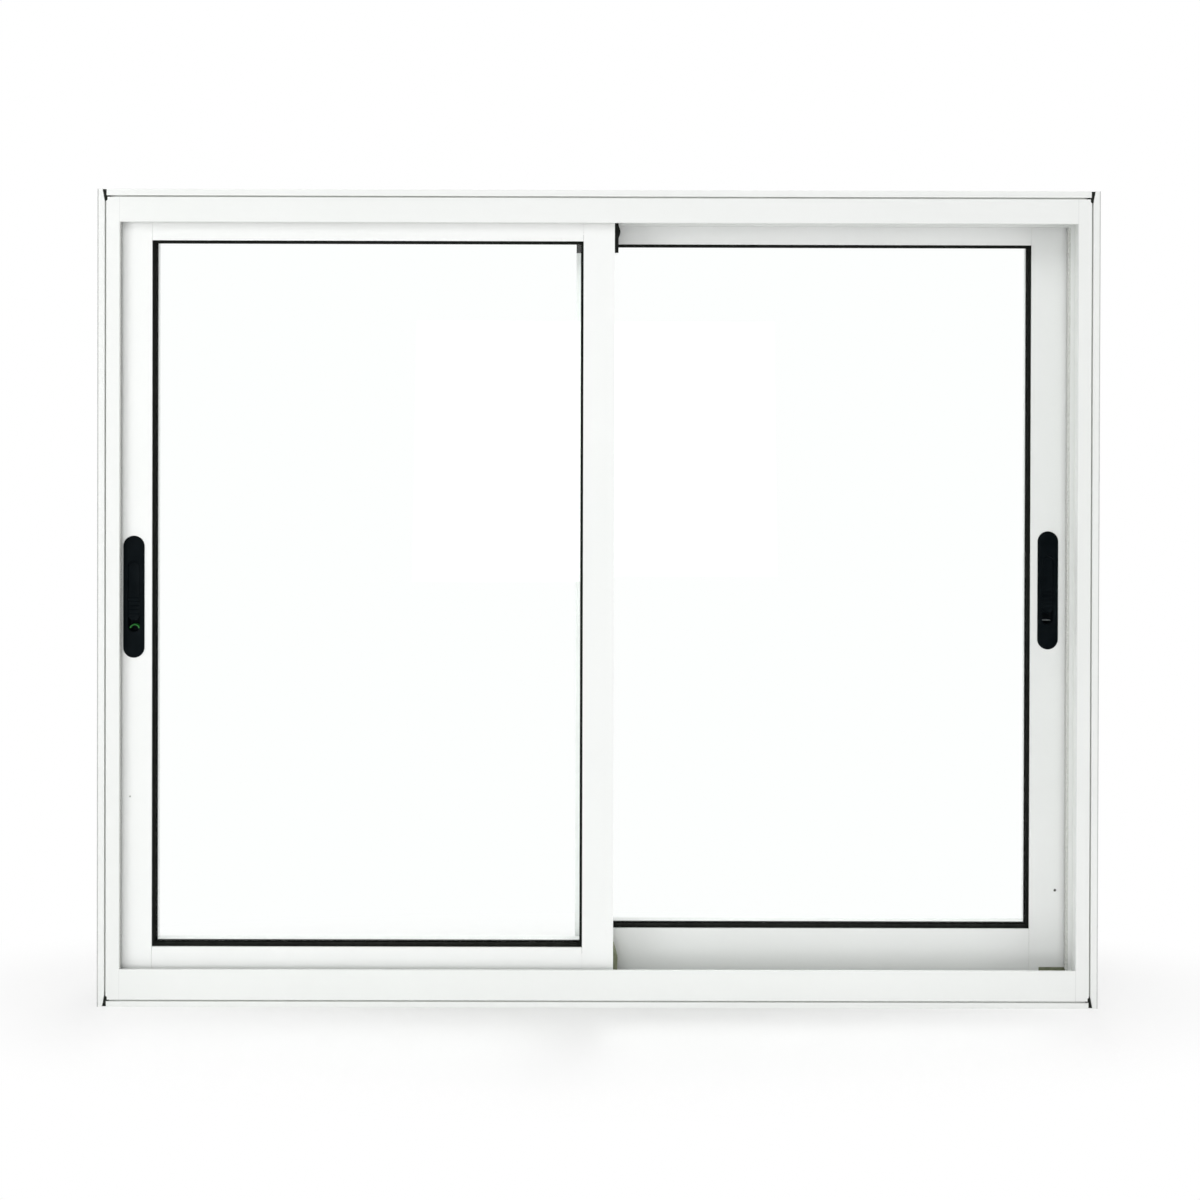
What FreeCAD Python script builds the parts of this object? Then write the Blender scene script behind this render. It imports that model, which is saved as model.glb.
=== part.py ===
import FreeCAD, Part
import math
import os

Vector = FreeCAD.Vector
os.makedirs("parts", exist_ok=True)

# A horizontal sliding window: an extruded frame with two tracks, and two glazed sashes
# that pass each other. Millimetres. X runs along the window, Y from the room to the
# outside, Z up. The origin is the middle of the frame's underside.

# Whole frame
frame_width = 1200.0
frame_height = 980.0
frame_wall = 1.5

# How far each frame member's room face reaches in from the outer edge
jamb_face = 26.5
head_face = 39.3
sill_face = 45.0

# The narrow outer lip, and the shadow groove between it and the face
jamb_lip = 8.5
head_lip = 7.6
sill_lip = 6.6
groove_width = 2.0
groove_depth = 6.0

# Legs that stand between and behind the tracks, measured from the outer edge
jamb_middle_leg = 17.0
sill_middle_leg = 18.0
jamb_back_leg = 26.5
head_back_leg = 34.0
sill_back_leg = 30.0
corner_gap = 0.4

# Tracks
track_pitch = 45.5
sash_setback = 9.0
rail_height = 7.4
rail_thickness = 3.0
rail_cap_thickness = 0.6

# Sashes
sash_thickness = 28.0
sash_wall = 1.5
jamb_clearance = 5.0
stile_width = 45.0
meeting_width = 37.5
top_rail_width = 38.5
bottom_rail_width = 54.0
rail_end_gap = 0.25
sash_bottom = 13.5
head_clearance = 11.0

# Glass and its gaskets
glass_thickness = 5.0
pocket_depth = 12.0
pocket_width = 14.0
glass_edge_gap = 3.0
gasket_reach = 3.3
gasket_grip = 8.0
gasket_bevel = 1.2

# Hooked interlock on the meeting stiles
interlock_wall = 1.4
interlock_inner_edge = 4.0
front_interlock_wing = 18.0
rear_interlock_wing = 28.0
interlock_leg = 12.0
interlock_depth = 11.5
interlock_hook = 6.0
interlock_end_gap = 3.5
upper_cap_height = 29.0
lower_cap_height = 36.0
cap_inner_edge = 9.0
cap_tab_height = 14.0
upper_cap_reach = 20.5
cap_bulge_width = 4.6
cap_bulge_start = 12.0
lower_cap_reach = 22.7
lower_cap_shoulder = 17.5

# Flush latches in the lock stiles
latch_height = 490.0
latch_length = 147.0
latch_width = 25.5
latch_inset = 21.5
bezel_thickness = 1.0
latch_case_length = 137.0
latch_case_width = 18.8
latch_case_depth = 14.0
cutout_clearance = 0.4
recess_length = 85.0
recess_width = 14.4
recess_depth = 9.0
slider_length = 71.0
slider_clearance = 0.4
slider_sunk = 0.5
slider_rib_reach = 1.0
slider_rib_height = 2.0
slider_rib_length = 56.0
slider_rib_depth = 5.0
thumb_ridge_radius = 1.0
thumb_ridge_pitch = 5.0
thumb_ridge_count = 5
hook_thickness = 3.0
hook_height = 18.0
hook_seat = 4.0
hook_notch_height = 5.0
hook_notch_depth = 6.0
hook_edge_gap = 0.6

# Rollers, guides and stops
roller_inset = 70.0
roller_length = 62.0
roller_case_width = 16.0
roller_case_gap = 4.4
wheel_radius = 10.0
wheel_groove_radius = 8.0
wheel_width = 7.0
wheel_groove_width = 5.0
wheel_gap = 0.3
wheel_slot_clearance = 0.8
axle_radius = 2.0
axle_clearance = 0.05
guide_length = 24.0
guide_height = 4.0
guide_plug_depth = 12.0
guide_clearance = 0.3
guide_side_gap = 2.0
foot_sole = 1.5
foot_plug_height = 18.0
foot_window_height = 6.5
rail_notch_width = 9.0
rail_notch_gap = 1.9
bumper_length = 60.0
bumper_thickness = 3.0
bumper_width = 10.0
bumper_end_distance = 160.0
keeper_length = 60.0
keeper_width = 16.0
keeper_thickness = 1.5
keeper_slot_length = 24.0
keeper_slot_width = 6.0
end_block_gap = 0.4
end_block_height = 8.0
end_block_depth = 11.0

# Brush seals between the frame legs and the sash faces
seal_width = 4.8
seal_gap = 0.5
seal_peek = 0.6

# Corner joints: screws through the jambs into ports of the head and sill, and soft corner pads
port_radius = 3.2
port_bore = 1.8
port_slot = 1.8
port_offset = 2.6
screw_radius = 1.7
screw_hole_radius = 2.0
screw_length = 16.0
screw_head_radius = 2.8
screw_head_height = 1.6
pad_start = 6.0
pad_groove_reach = 14.2
pad_below = 4.7
pad_clearance = 0.3
pad_sunk = 0.8

# Fixing holes and drainage
fixing_radius = 3.5
fixing_spacing = 340.0
head_fixing_spacing = 350.0
head_fixing_gap = 3.3
drain_offset = 420.0
drain_length = 30.0
drain_height = 5.0
drain_cover_length = 40.0
drain_cover_height = 10.0
drain_cover_thickness = 3.0

# Worked out from the sizes above
frame_depth = track_pitch + sash_thickness + 2 * sash_setback
half_width = frame_width / 2
front_face = -frame_depth / 2
back_face = frame_depth / 2
jamb_web = jamb_lip + groove_width
head_web = head_lip + groove_width
sill_web = sill_lip + groove_width
rail_top = sill_web + frame_wall + rail_height
track_centre = track_pitch / 2
sash_outer = half_width - jamb_web - frame_wall - jamb_clearance
sash_top = frame_height - head_web - frame_wall - head_clearance
lock_inner = sash_outer - stile_width
meeting_outer = meeting_width / 2
head_edge = frame_height - head_face
front_sash_face = front_face + sash_setback
pane_bottom = sash_bottom + bottom_rail_width
pane_top = sash_top - top_rail_width
rail_notch_top = rail_top + rail_cap_thickness + rail_notch_gap
lip_depth = groove_depth + frame_wall
# Depth of the two screw ports behind the room face, one above each track
port_depths = (frame_depth / 2 - track_centre, frame_depth / 2 + track_centre)
# The head's fixing holes stand beside its front screw port
head_fixing_y = port_radius + head_fixing_gap + fixing_radius - track_centre

ALONG_X = Vector(1, 0, 0)
ALONG_Y = Vector(0, 1, 0)
ALONG_Z = Vector(0, 0, 1)


def save(name, *solids):
    """Write one sub-part, of one solid or several that don't touch."""
    shape = solids[0] if len(solids) == 1 else Part.makeCompound(list(solids))
    shape.exportStep("parts/" + name + ".step")


def box(x_low, x_high, y_low, y_high, z_low, z_high):
    """A block between two corners."""
    return Part.makeBox(x_high - x_low, y_high - y_low, z_high - z_low, Vector(x_low, y_low, z_low))


def across(side, near, far):
    """Low and high X of a span on one side of the window, mirrored by side."""
    return min(side * near, side * far), max(side * near, side * far)


def screw_port(centre, inward, rearward, run):
    """C-shaped bar that holds a screw in its bore, its slot turned away from the member."""
    outer = Part.makeCylinder(port_radius, run.Length, centre, run)
    bore = Part.makeCylinder(port_bore, run.Length, centre, run)
    half = port_slot / 2
    ring = [(0, -half), (2 * port_radius, -half), (2 * port_radius, half), (0, half), (0, -half)]
    slot = Part.Face(Part.makePolygon([centre - inward * s + rearward * t for s, t in ring])).extrude(run)
    return outer.cut(bore).cut(slot)


def extrusion(walls, corner, inward, rearward, run, ports=()):
    """Carry a thin-walled section along a straight run.

    Each wall is (s low, s high, t low, t high), with s from the member's outer edge
    inward and t from its room face towards the back. Each port is the (s, t) of its bore.
    """
    faces = []
    for s_low, s_high, t_low, t_high in walls:
        ring = [(s_low, t_low), (s_high, t_low), (s_high, t_high), (s_low, t_high), (s_low, t_low)]
        points = [corner + inward * s + rearward * t for s, t in ring]
        faces.append(Part.Face(Part.makePolygon(points)))
    joined = faces[0].fuse(faces[1:]).removeSplitter()
    bar = joined.Faces[0].extrude(run)
    for s, t in ports:
        bar = bar.fuse(screw_port(corner + inward * s + rearward * t, inward, rearward, run))
    return bar.removeSplitter() if ports else bar


def stadium(length, width, x, y, z, depth):
    """A slab with half-round ends, upright in the X-Z plane, reaching back from y."""
    radius = width / 2
    straight = (length - width) / 2
    low_left = Vector(x - radius, y, z - straight)
    high_left = Vector(x - radius, y, z + straight)
    high_right = Vector(x + radius, y, z + straight)
    low_right = Vector(x + radius, y, z - straight)
    edges = [
        Part.makeLine(low_left, high_left),
        Part.Arc(high_left, Vector(x, y, z + straight + radius), high_right).toShape(),
        Part.makeLine(high_right, low_right),
        Part.Arc(low_right, Vector(x, y, z - straight - radius), low_left).toShape(),
    ]
    return Part.Face(Part.Wire(edges)).extrude(ALONG_Y * depth)


# Frame

def frame_section(lip, face, middle_leg, back_leg):
    """Section of a frame member: outer lips, web, room face, middle leg and back leg."""
    web = lip + groove_width
    inner = web + frame_wall
    middle = frame_depth / 2
    return [
        (web, inner, 0, frame_depth),
        (web, face, 0, frame_wall),
        (lip - frame_wall, inner, groove_depth, groove_depth + frame_wall),
        (lip - frame_wall, lip, 0, groove_depth + frame_wall),
        (0, lip, 0, frame_wall),
        (0, inner, frame_depth - frame_wall, frame_depth),
        (web, back_leg, frame_depth - frame_wall, frame_depth),
        (web, middle_leg, middle - frame_wall / 2, middle + frame_wall / 2),
    ]


def corner_wedge(side, top, shrink, y_low, y_high):
    """Prism over the outer corner of a jamb's end, its outline shrunk on every edge."""
    lip = head_lip if top else sill_lip
    web = lip + groove_width
    member_end = jamb_web + corner_gap
    wall_inner = jamb_web + frame_wall
    low = web + pad_below
    outline = [
        (pad_start + shrink, shrink), (member_end - shrink, shrink), (member_end - shrink, lip + shrink),
        (pad_groove_reach - shrink, lip + shrink), (pad_groove_reach - shrink, web - shrink),
        (wall_inner - shrink, web - shrink), (wall_inner - shrink, low - frame_wall - shrink),
        (jamb_web - shrink, low - shrink), (jamb_lip + shrink, low - shrink), (pad_start + shrink, shrink),
    ]
    base = frame_height if top else 0
    upward = -1 if top else 1
    points = [Vector(side * (half_width - s), y_low, base + upward * z) for s, z in outline]
    return Part.Face(Part.makePolygon(points)).extrude(ALONG_Y * (y_high - y_low))


def port_levels():
    """Z of the screw ports under the sill's web and over the head's web."""
    return sill_web - port_offset, frame_height - head_web + port_offset


def polygon_bar(sides, radius, seat, run):
    """A bar of a regular polygon section, for small round things that need few faces."""
    points = []
    for corner in range(sides + 1):
        angle = 2 * math.pi * corner / sides
        points.append(seat + ALONG_Y * radius * math.cos(angle) + ALONG_Z * radius * math.sin(angle))
    return Part.Face(Part.makePolygon(points)).extrude(run)


def make_corner_pads():
    """Soft pads that fill the notched corners between the outer lips."""
    pads = []
    for side in (-1, 1):
        for top in (False, True):
            pads.append(corner_wedge(side, top, pad_clearance, front_face + pad_sunk,
                                     front_face + groove_depth))
    return pads


def make_frame_screws():
    """Pan-head screws through the jambs' webs into the ports of the head and sill."""
    screws = []
    for side in (-1, 1):
        for level in port_levels():
            for depth in port_depths:
                seat = Vector(side * (half_width - jamb_web), front_face + depth, level)
                shank = polygon_bar(8, screw_radius, seat, ALONG_X * -side * screw_length)
                head = polygon_bar(16, screw_head_radius, seat, ALONG_X * side * screw_head_height)
                screws.append(shank.fuse(head).removeSplitter())
    return screws


def make_jamb(side):
    """An upright frame member over the full height, with fixing holes and screw holes."""
    walls = frame_section(jamb_lip, jamb_face, jamb_middle_leg, jamb_back_leg)
    corner = Vector(side * half_width, front_face, 0)
    jamb = extrusion(walls, corner, ALONG_X * -side, ALONG_Y, ALONG_Z * frame_height)
    for step in (-1, 0, 1):
        start = Vector(side * (half_width - jamb_web - 2 * frame_wall), -track_centre,
                       frame_height / 2 + step * fixing_spacing)
        jamb = jamb.cut(Part.makeCylinder(fixing_radius, 4 * frame_wall, start, ALONG_X * side))
    # The head's and sill's lips run over the ends of the jamb, whose web alone goes on between them
    ends = ((-1, sill_web, sill_web + frame_wall),
            (frame_height + 1, frame_height - head_web, frame_height - head_web - frame_wall))
    web = half_width - jamb_web
    for end, web_level, floor_level in ends:
        z_low, z_high = sorted((end, web_level))
        x_low, x_high = across(side, web - jamb_face, web)
        lip_end = front_face + lip_depth + corner_gap
        back_start = back_face - frame_wall - corner_gap
        jamb = jamb.cut(box(x_low, x_high, front_face - 1, lip_end, z_low, z_high))
        jamb = jamb.cut(box(x_low, x_high, back_start, back_face + 1, z_low, z_high))
        x_low, x_high = across(side, web - jamb_face, web - frame_wall)
        jamb = jamb.cut(box(x_low, x_high, front_face - 1, back_face + 1, z_low, z_high))
        z_low, z_high = sorted((end, floor_level))
        jamb = jamb.cut(box(x_low, x_high, back_face - frame_wall, back_face + 1, z_low, z_high))
    for top in (False, True):
        jamb = jamb.cut(corner_wedge(side, top, 0, front_face - 1, front_face + groove_depth))
    for level in port_levels():
        for depth in port_depths:
            start = Vector(side * (web - 2 * frame_wall), front_face + depth, level)
            jamb = jamb.cut(Part.makeCylinder(screw_hole_radius, 4 * frame_wall, start, ALONG_X * side))
    return jamb


def make_level_member(lip, face, middle_leg, back_leg, bottom):
    """The head or the sill: coped over the jambs' legs, its lips running on past them."""
    walls = frame_section(lip, face, middle_leg, back_leg)
    if bottom:
        for track in (-track_centre, track_centre):
            t_centre = track - front_face
            walls.append((lip + groove_width, rail_top, t_centre - rail_thickness / 2,
                          t_centre + rail_thickness / 2))
    base = 0 if bottom else frame_height
    inward = ALONG_Z if bottom else -ALONG_Z
    reach = half_width - jamb_web - corner_gap
    corner = Vector(-reach, front_face, base)
    web = lip + groove_width
    ports = [(web - port_offset, depth) for depth in port_depths]
    member = extrusion(walls, corner, inward, ALONG_Y, ALONG_X * 2 * reach, ports)
    # Behind the lips the member stops at the jamb's web, and its legs stop at the jamb's legs
    copes = (
        (jamb_web + frame_wall, front_face - 1, back_face + 1, web),
        (jamb_web + frame_wall, front_face + lip_depth, back_face - frame_wall, 0),
        (jamb_face, front_face - 1, front_face + frame_wall, web),
        (jamb_back_leg, back_face - frame_wall, back_face + 1, web + frame_wall),
        (jamb_middle_leg, -frame_wall / 2, frame_wall / 2, web),
    )
    far = face + bottom_rail_width
    for side in (-1, 1):
        for stop, y_low, y_high, start in copes:
            x_low, x_high = across(side, half_width - stop, half_width)
            z_low, z_high = (start, far) if bottom else (base - far, base - start)
            member = member.cut(box(x_low, x_high, y_low, y_high, z_low, z_high))
    return member


def make_head():
    """The head, with its fixing holes through the web."""
    head = make_level_member(head_lip, head_face, head_face, head_back_leg, False)
    for step in (-1, 0, 1):
        start = Vector(step * head_fixing_spacing, head_fixing_y, frame_height - head_web - 2 * frame_wall)
        head = head.cut(Part.makeCylinder(fixing_radius, 4 * frame_wall, start, ALONG_Z))
    return head


def make_sill():
    """The sill with its two rails, and drain slots through the back leg."""
    sill = make_level_member(sill_lip, sill_face, sill_middle_leg, sill_back_leg, True)
    floor = sill_web + frame_wall
    for x in (-drain_offset, drain_offset):
        slot = box(x - drain_length / 2, x + drain_length / 2, back_face - 2 * frame_wall, back_face + 1,
                   floor, floor + drain_height)
        sill = sill.cut(slot)
    return sill


def make_rail_cap(track):
    """A thin hard strip folded over the top of a rail."""
    reach = half_width - jamb_web - frame_wall - jamb_clearance
    outer = rail_thickness / 2 + rail_cap_thickness
    cap = box(-reach, reach, track - outer, track + outer,
              rail_top - rail_height / 2, rail_top + rail_cap_thickness)
    rail = box(-reach - 1, reach + 1, track - rail_thickness / 2, track + rail_thickness / 2,
               rail_top - rail_height, rail_top)
    return cap.cut(rail)


def make_keeper(side, track):
    """The slotted steel plate on a jamb that a latch hook drops into."""
    web_face = half_width - jamb_web - frame_wall
    x_low, x_high = across(side, web_face - keeper_thickness, web_face)
    plate = box(x_low, x_high, track - keeper_width / 2, track + keeper_width / 2,
                latch_height - keeper_length / 2, latch_height + keeper_length / 2)
    slot = box(x_low - 1, x_high + 1, track - keeper_slot_width / 2, track + keeper_slot_width / 2,
               latch_height - keeper_slot_length / 2, latch_height + keeper_slot_length / 2)
    return plate.cut(slot)


def make_bumpers(side, track):
    """Rubber pads on a jamb's web that the closing sash comes up to."""
    web_face = half_width - jamb_web - frame_wall
    x_low, x_high = across(side, web_face - bumper_thickness, web_face)
    pads = []
    for height in (bumper_end_distance, frame_height - bumper_end_distance):
        pads.append(box(x_low, x_high, track - bumper_width / 2, track + bumper_width / 2,
                        height - bumper_length / 2, height + bumper_length / 2))
    return pads


def make_end_blocks():
    """Moulded blocks on the sill's floor that fill the gap between a closed sash's foot and the jamb."""
    floor = sill_web + frame_wall
    blocks = []
    for side, face in ((-1, front_sash_face), (1, front_sash_face + track_pitch)):
        x_low, x_high = across(side, sash_outer + end_block_gap, half_width - jamb_web - frame_wall)
        blocks.append(box(x_low, x_high, face, face + end_block_depth, floor, floor + end_block_height))
    return blocks


def make_jamb_seal(side):
    """The brush strip between a jamb's leg and the lock stile that closes against it."""
    front = side < 0
    y_low = front_face + frame_wall if front else front_sash_face + track_pitch + sash_thickness + seal_gap
    y_high = front_sash_face - seal_gap if front else back_face - frame_wall
    edge = half_width - (jamb_face if front else jamb_back_leg) - seal_peek
    x_low, x_high = across(side, edge, edge + seal_width)
    return box(x_low, x_high, y_low, y_high, sill_face, head_edge)


def make_level_seals(low, high):
    """Brush strips along the head or the sill, one on each outer leg."""
    reach = half_width - jamb_face - seal_peek
    front = box(-reach, reach, front_face + frame_wall, front_sash_face - seal_gap, low, high)
    sash_back = front_sash_face + track_pitch + sash_thickness
    back = box(-reach, reach, sash_back + seal_gap, back_face - frame_wall, low, high)
    return front, back


def make_drain_covers():
    """Small hoods over the drain slots, on the outside of the sill."""
    covers = []
    floor = sill_web + frame_wall
    for x in (-drain_offset, drain_offset):
        hood = box(x - drain_cover_length / 2, x + drain_cover_length / 2, back_face,
                   back_face + drain_cover_thickness, floor - 1, floor - 1 + drain_cover_height)
        hollow = box(x - drain_length / 2, x + drain_length / 2, back_face - 1,
                     back_face + drain_cover_thickness - 1, floor - 2, floor + drain_height)
        covers.append(hood.cut(hollow))
    return covers


# Sashes

def sash_section(width, open_outside):
    """Section of a sash member: a chamber, and a glazing pocket towards the room side."""
    pocket = width - pocket_depth
    lip_back = sash_wall + pocket_width
    walls = [
        (0, width, 0, sash_wall),
        (0, width, sash_thickness - sash_wall, sash_thickness),
        (pocket, pocket + sash_wall, 0, sash_thickness),
        (pocket, width, lip_back, lip_back + sash_wall),
        (width - sash_wall, width, lip_back, sash_thickness),
    ]
    if open_outside:
        foot = sash_wall * 3
        walls.append((0, sash_wall, 0, foot))
        walls.append((0, sash_wall, sash_thickness - foot, sash_thickness))
    else:
        walls.append((0, sash_wall, 0, sash_thickness))
    return walls


def latch_solid(side, face):
    """Latch body: a thin bezel, a case behind it open at the recess, and the hook on its side."""
    x = side * (lock_inner + latch_inset)
    front = face - bezel_thickness
    body = stadium(latch_length, latch_width, x, front, latch_height, bezel_thickness)
    case = stadium(latch_case_length, latch_case_width, x, front, latch_height,
                   bezel_thickness + latch_case_depth)
    recess = stadium(recess_length, recess_width, x, front - 1, latch_height, recess_depth + 1)
    groove_y = front + slider_rib_depth
    groove_half = recess_width / 2 + slider_rib_reach
    straight = (recess_length - recess_width) / 2
    groove = box(x - groove_half, x + groove_half, groove_y - slider_clearance,
                 groove_y + slider_rib_height + slider_clearance,
                 latch_height - straight, latch_height + straight)
    body = body.fuse(case).cut(recess).cut(groove)
    # A hook plate behind the recess, reaching to the slot in the stile's edge
    reach = sash_outer - lock_inner - latch_inset - sash_wall - hook_edge_gap
    near = latch_case_width / 2 - hook_seat
    half = hook_height / 2
    notch_x = reach - hook_notch_depth
    outline = [(near, -half), (reach, -half), (reach, 0), (reach - 2, 0), (reach - 2, -hook_notch_height),
               (notch_x, -hook_notch_height), (notch_x, half), (near, half), (near, -half)]
    back = face + latch_case_depth
    points = [Vector(x + side * s, back - hook_thickness / 2, latch_height + z) for s, z in outline]
    hook = Part.Face(Part.makePolygon(points)).extrude(ALONG_Y * hook_thickness)
    return body.fuse(hook).removeSplitter()


def slider_solid(side, face):
    """Thumb piece of a latch, at the top of its recess, with ribs that run in the body's grooves."""
    x = side * (lock_inner + latch_inset)
    front = face - bezel_thickness
    width = recess_width - 2 * slider_clearance
    top = latch_height + recess_length / 2 - slider_clearance
    middle = top - slider_length / 2
    depth = recess_depth - slider_sunk - slider_clearance
    slider = stadium(slider_length, width, x, front + slider_sunk, middle, depth)
    rib_y = front + slider_rib_depth
    rib_half = recess_width / 2 + slider_rib_reach - slider_clearance
    rib = box(x - rib_half, x + rib_half, rib_y, rib_y + slider_rib_height,
              middle - slider_rib_length / 2, middle + slider_rib_length / 2)
    slider = slider.fuse(rib)
    # A row of shallow grooves under the thumb, near the lower end
    first = middle - slider_length / 2 + width / 2
    for step in range(thumb_ridge_count):
        start = Vector(x - width, front + slider_sunk, first + step * thumb_ridge_pitch)
        slider = slider.cut(Part.makeCylinder(thumb_ridge_radius, 2 * width, start, ALONG_X))
    return slider.removeSplitter()


def rail_notch(centre):
    """The slot through the foot of an upright that passes over its rail."""
    return box(-half_width, half_width, centre - rail_notch_width / 2, centre + rail_notch_width / 2,
               sash_bottom - 2 * foot_sole, rail_notch_top)


def make_lock_stile(side, face):
    """Outer upright of a sash, full height, cut out for its latch and for the hook."""
    walls = sash_section(stile_width, False)
    corner = Vector(side * sash_outer, face, sash_bottom)
    stile = extrusion(walls, corner, ALONG_X * -side, ALONG_Y, ALONG_Z * (sash_top - sash_bottom))
    cutout = stadium(latch_case_length + 2 * cutout_clearance, latch_case_width + 2 * cutout_clearance,
                     side * (lock_inner + latch_inset), face - 1, latch_height, sash_wall + 1.5)
    x_low, x_high = across(side, sash_outer - 2 * sash_wall, sash_outer + 1)
    centre = face + sash_thickness / 2
    hook_slot = box(x_low, x_high, centre - keeper_slot_width / 2, centre + keeper_slot_width / 2,
                    latch_height - keeper_slot_length / 2, latch_height + keeper_slot_length / 2)
    # Cut away at the foot of the room face, where the plastic foot shows
    x_low, x_high = across(side, lock_inner + pocket_depth, sash_outer + 1)
    window = box(x_low, x_high, face - 1, face + sash_wall,
                 sash_bottom - 1, sash_bottom + foot_window_height)
    return stile.cut(cutout).cut(hook_slot).cut(window).cut(rail_notch(face + sash_thickness / 2))


def make_meeting_stile(side, face):
    """Inner upright of a sash, full height."""
    walls = sash_section(meeting_width, False)
    corner = Vector(-side * meeting_outer, face, sash_bottom)
    stile = extrusion(walls, corner, ALONG_X * side, ALONG_Y, ALONG_Z * (sash_top - sash_bottom))
    return stile.cut(rail_notch(face + sash_thickness / 2))


def make_rail(face, side, top):
    """Top or bottom rail, between the stiles."""
    meeting_inner = meeting_outer - meeting_width
    x_low, x_high = across(side, rail_end_gap - meeting_inner, lock_inner - rail_end_gap)
    width = top_rail_width if top else bottom_rail_width
    walls = sash_section(width, not top)
    corner = Vector(x_low, face, sash_top if top else sash_bottom)
    inward = -ALONG_Z if top else ALONG_Z
    return extrusion(walls, corner, inward, ALONG_Y, ALONG_X * (x_high - x_low))


def pane_span(side, grow):
    """Low and high X and Z of the sash's glass opening, grown by an amount on every side."""
    x_low, x_high = across(side, meeting_width - meeting_outer, lock_inner)
    return x_low - grow, x_high + grow, pane_bottom - grow, pane_top + grow


def make_glass(side, face):
    """One pane, standing in the glazing pockets all round."""
    grow = pocket_depth - sash_wall - glass_edge_gap
    x_low, x_high, z_low, z_high = pane_span(side, grow)
    middle = face + sash_wall + pocket_width / 2
    return box(x_low, x_high, middle - glass_thickness / 2, middle + glass_thickness / 2, z_low, z_high)


def make_gasket(side, face, room_side):
    """Rubber ring between the glass and one lip of the pocket, showing a few millimetres."""
    thickness = (pocket_width - glass_thickness) / 2
    y_low = face + sash_wall if room_side else face + sash_wall + pocket_width - thickness
    x_low, x_high, z_low, z_high = pane_span(side, gasket_grip)
    outer = box(x_low, x_high, y_low, y_low + thickness, z_low, z_high)
    x_low, x_high, z_low, z_high = pane_span(side, -gasket_reach)
    inner = box(x_low, x_high, y_low - 1, y_low + thickness + 1, z_low, z_high)
    ring = outer.cut(inner)
    shown = y_low if room_side else y_low + thickness
    edges = []
    for edge in ring.Edges:
        middle = edge.CenterOfMass
        inside = x_low - 0.1 < middle.x < x_high + 0.1 and z_low - 0.1 < middle.z < z_high + 0.1
        flat = abs(edge.Vertexes[0].Y - shown) < 0.01 and abs(edge.Vertexes[1].Y - shown) < 0.01
        if inside and flat:
            edges.append(edge)
    return ring.makeChamfer(gasket_bevel, edges)


def interlock_frame(side, face):
    """Corner, directions and wing of the interlock: out past the stile, and towards the other sash."""
    front = side < 0
    mating_face = face + sash_thickness if front else face
    wing = front_interlock_wing if front else rear_interlock_wing
    return Vector(0, mating_face, 0), ALONG_X * -side, ALONG_Y * (1 if front else -1), wing


def interlock_span():
    """Lowest and highest Z of the interlock with its caps."""
    return sill_middle_leg + interlock_end_gap, head_edge - interlock_end_gap


def make_interlock(side, face):
    """Hooked strip on the meeting stile: a plate, a leg and a tongue that turns back."""
    corner, outward, towards, wing = interlock_frame(side, face)
    low, high = interlock_span()
    low = low + lower_cap_height
    high = high - upper_cap_height
    leg_inner = interlock_leg - interlock_wall
    tongue = interlock_depth - interlock_wall
    walls = [
        (interlock_inner_edge, wing, 0, interlock_wall),
        (leg_inner, interlock_leg, 0, interlock_depth),
        (-interlock_hook, interlock_leg, tongue, interlock_depth),
    ]
    return extrusion(walls, corner + ALONG_Z * low, outward, towards, ALONG_Z * (high - low))


def cap_block(corner, outward, towards, outline):
    """A moulded block with its outline in (reach, height), as deep as the interlock."""
    points = [corner + outward * s + ALONG_Z * z for s, z in outline]
    points.append(points[0])
    return Part.Face(Part.makePolygon(points)).extrude(towards * interlock_depth)


def make_interlock_caps(side, face):
    """Moulded ends of the interlock: the upper bulges past the stile, the lower rises to a point."""
    corner, outward, towards, wing = interlock_frame(side, face)
    low, high = interlock_span()
    plate = [(interlock_inner_edge, wing, 0, interlock_wall)]
    top = low + lower_cap_height
    shoulder = low + lower_cap_shoulder
    lower = cap_block(corner, outward, towards, [
        (cap_inner_edge, low), (lower_cap_reach, low), (lower_cap_reach, shoulder),
        (meeting_outer, top), (cap_inner_edge, top),
    ])
    lower_plate = extrusion(plate, corner + ALONG_Z * low, outward, towards, ALONG_Z * lower_cap_height)
    base = high - upper_cap_height
    bulge_low = base + cap_bulge_start
    bulge_step = (high - bulge_low) / 4
    bulge_reach = upper_cap_reach + cap_bulge_width
    flank = bulge_reach - cap_bulge_width / 4
    upper = cap_block(corner, outward, towards, [
        (cap_inner_edge, base), (upper_cap_reach, base), (upper_cap_reach, bulge_low),
        (flank, bulge_low + bulge_step), (bulge_reach, bulge_low + 2 * bulge_step),
        (flank, bulge_low + 3 * bulge_step), (upper_cap_reach + cap_bulge_width / 4, high),
        (cap_inner_edge, high),
    ])
    tab_height = upper_cap_height + cap_tab_height
    tab = extrusion(plate, corner + ALONG_Z * base, outward, towards, ALONG_Z * tab_height)
    return lower.fuse(lower_plate).removeSplitter(), upper.fuse(tab).removeSplitter()


def roller_places(side):
    """X of the two roller blocks of a sash."""
    return (side * (lock_inner - roller_inset), side * (meeting_width - meeting_outer + roller_inset))


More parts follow.
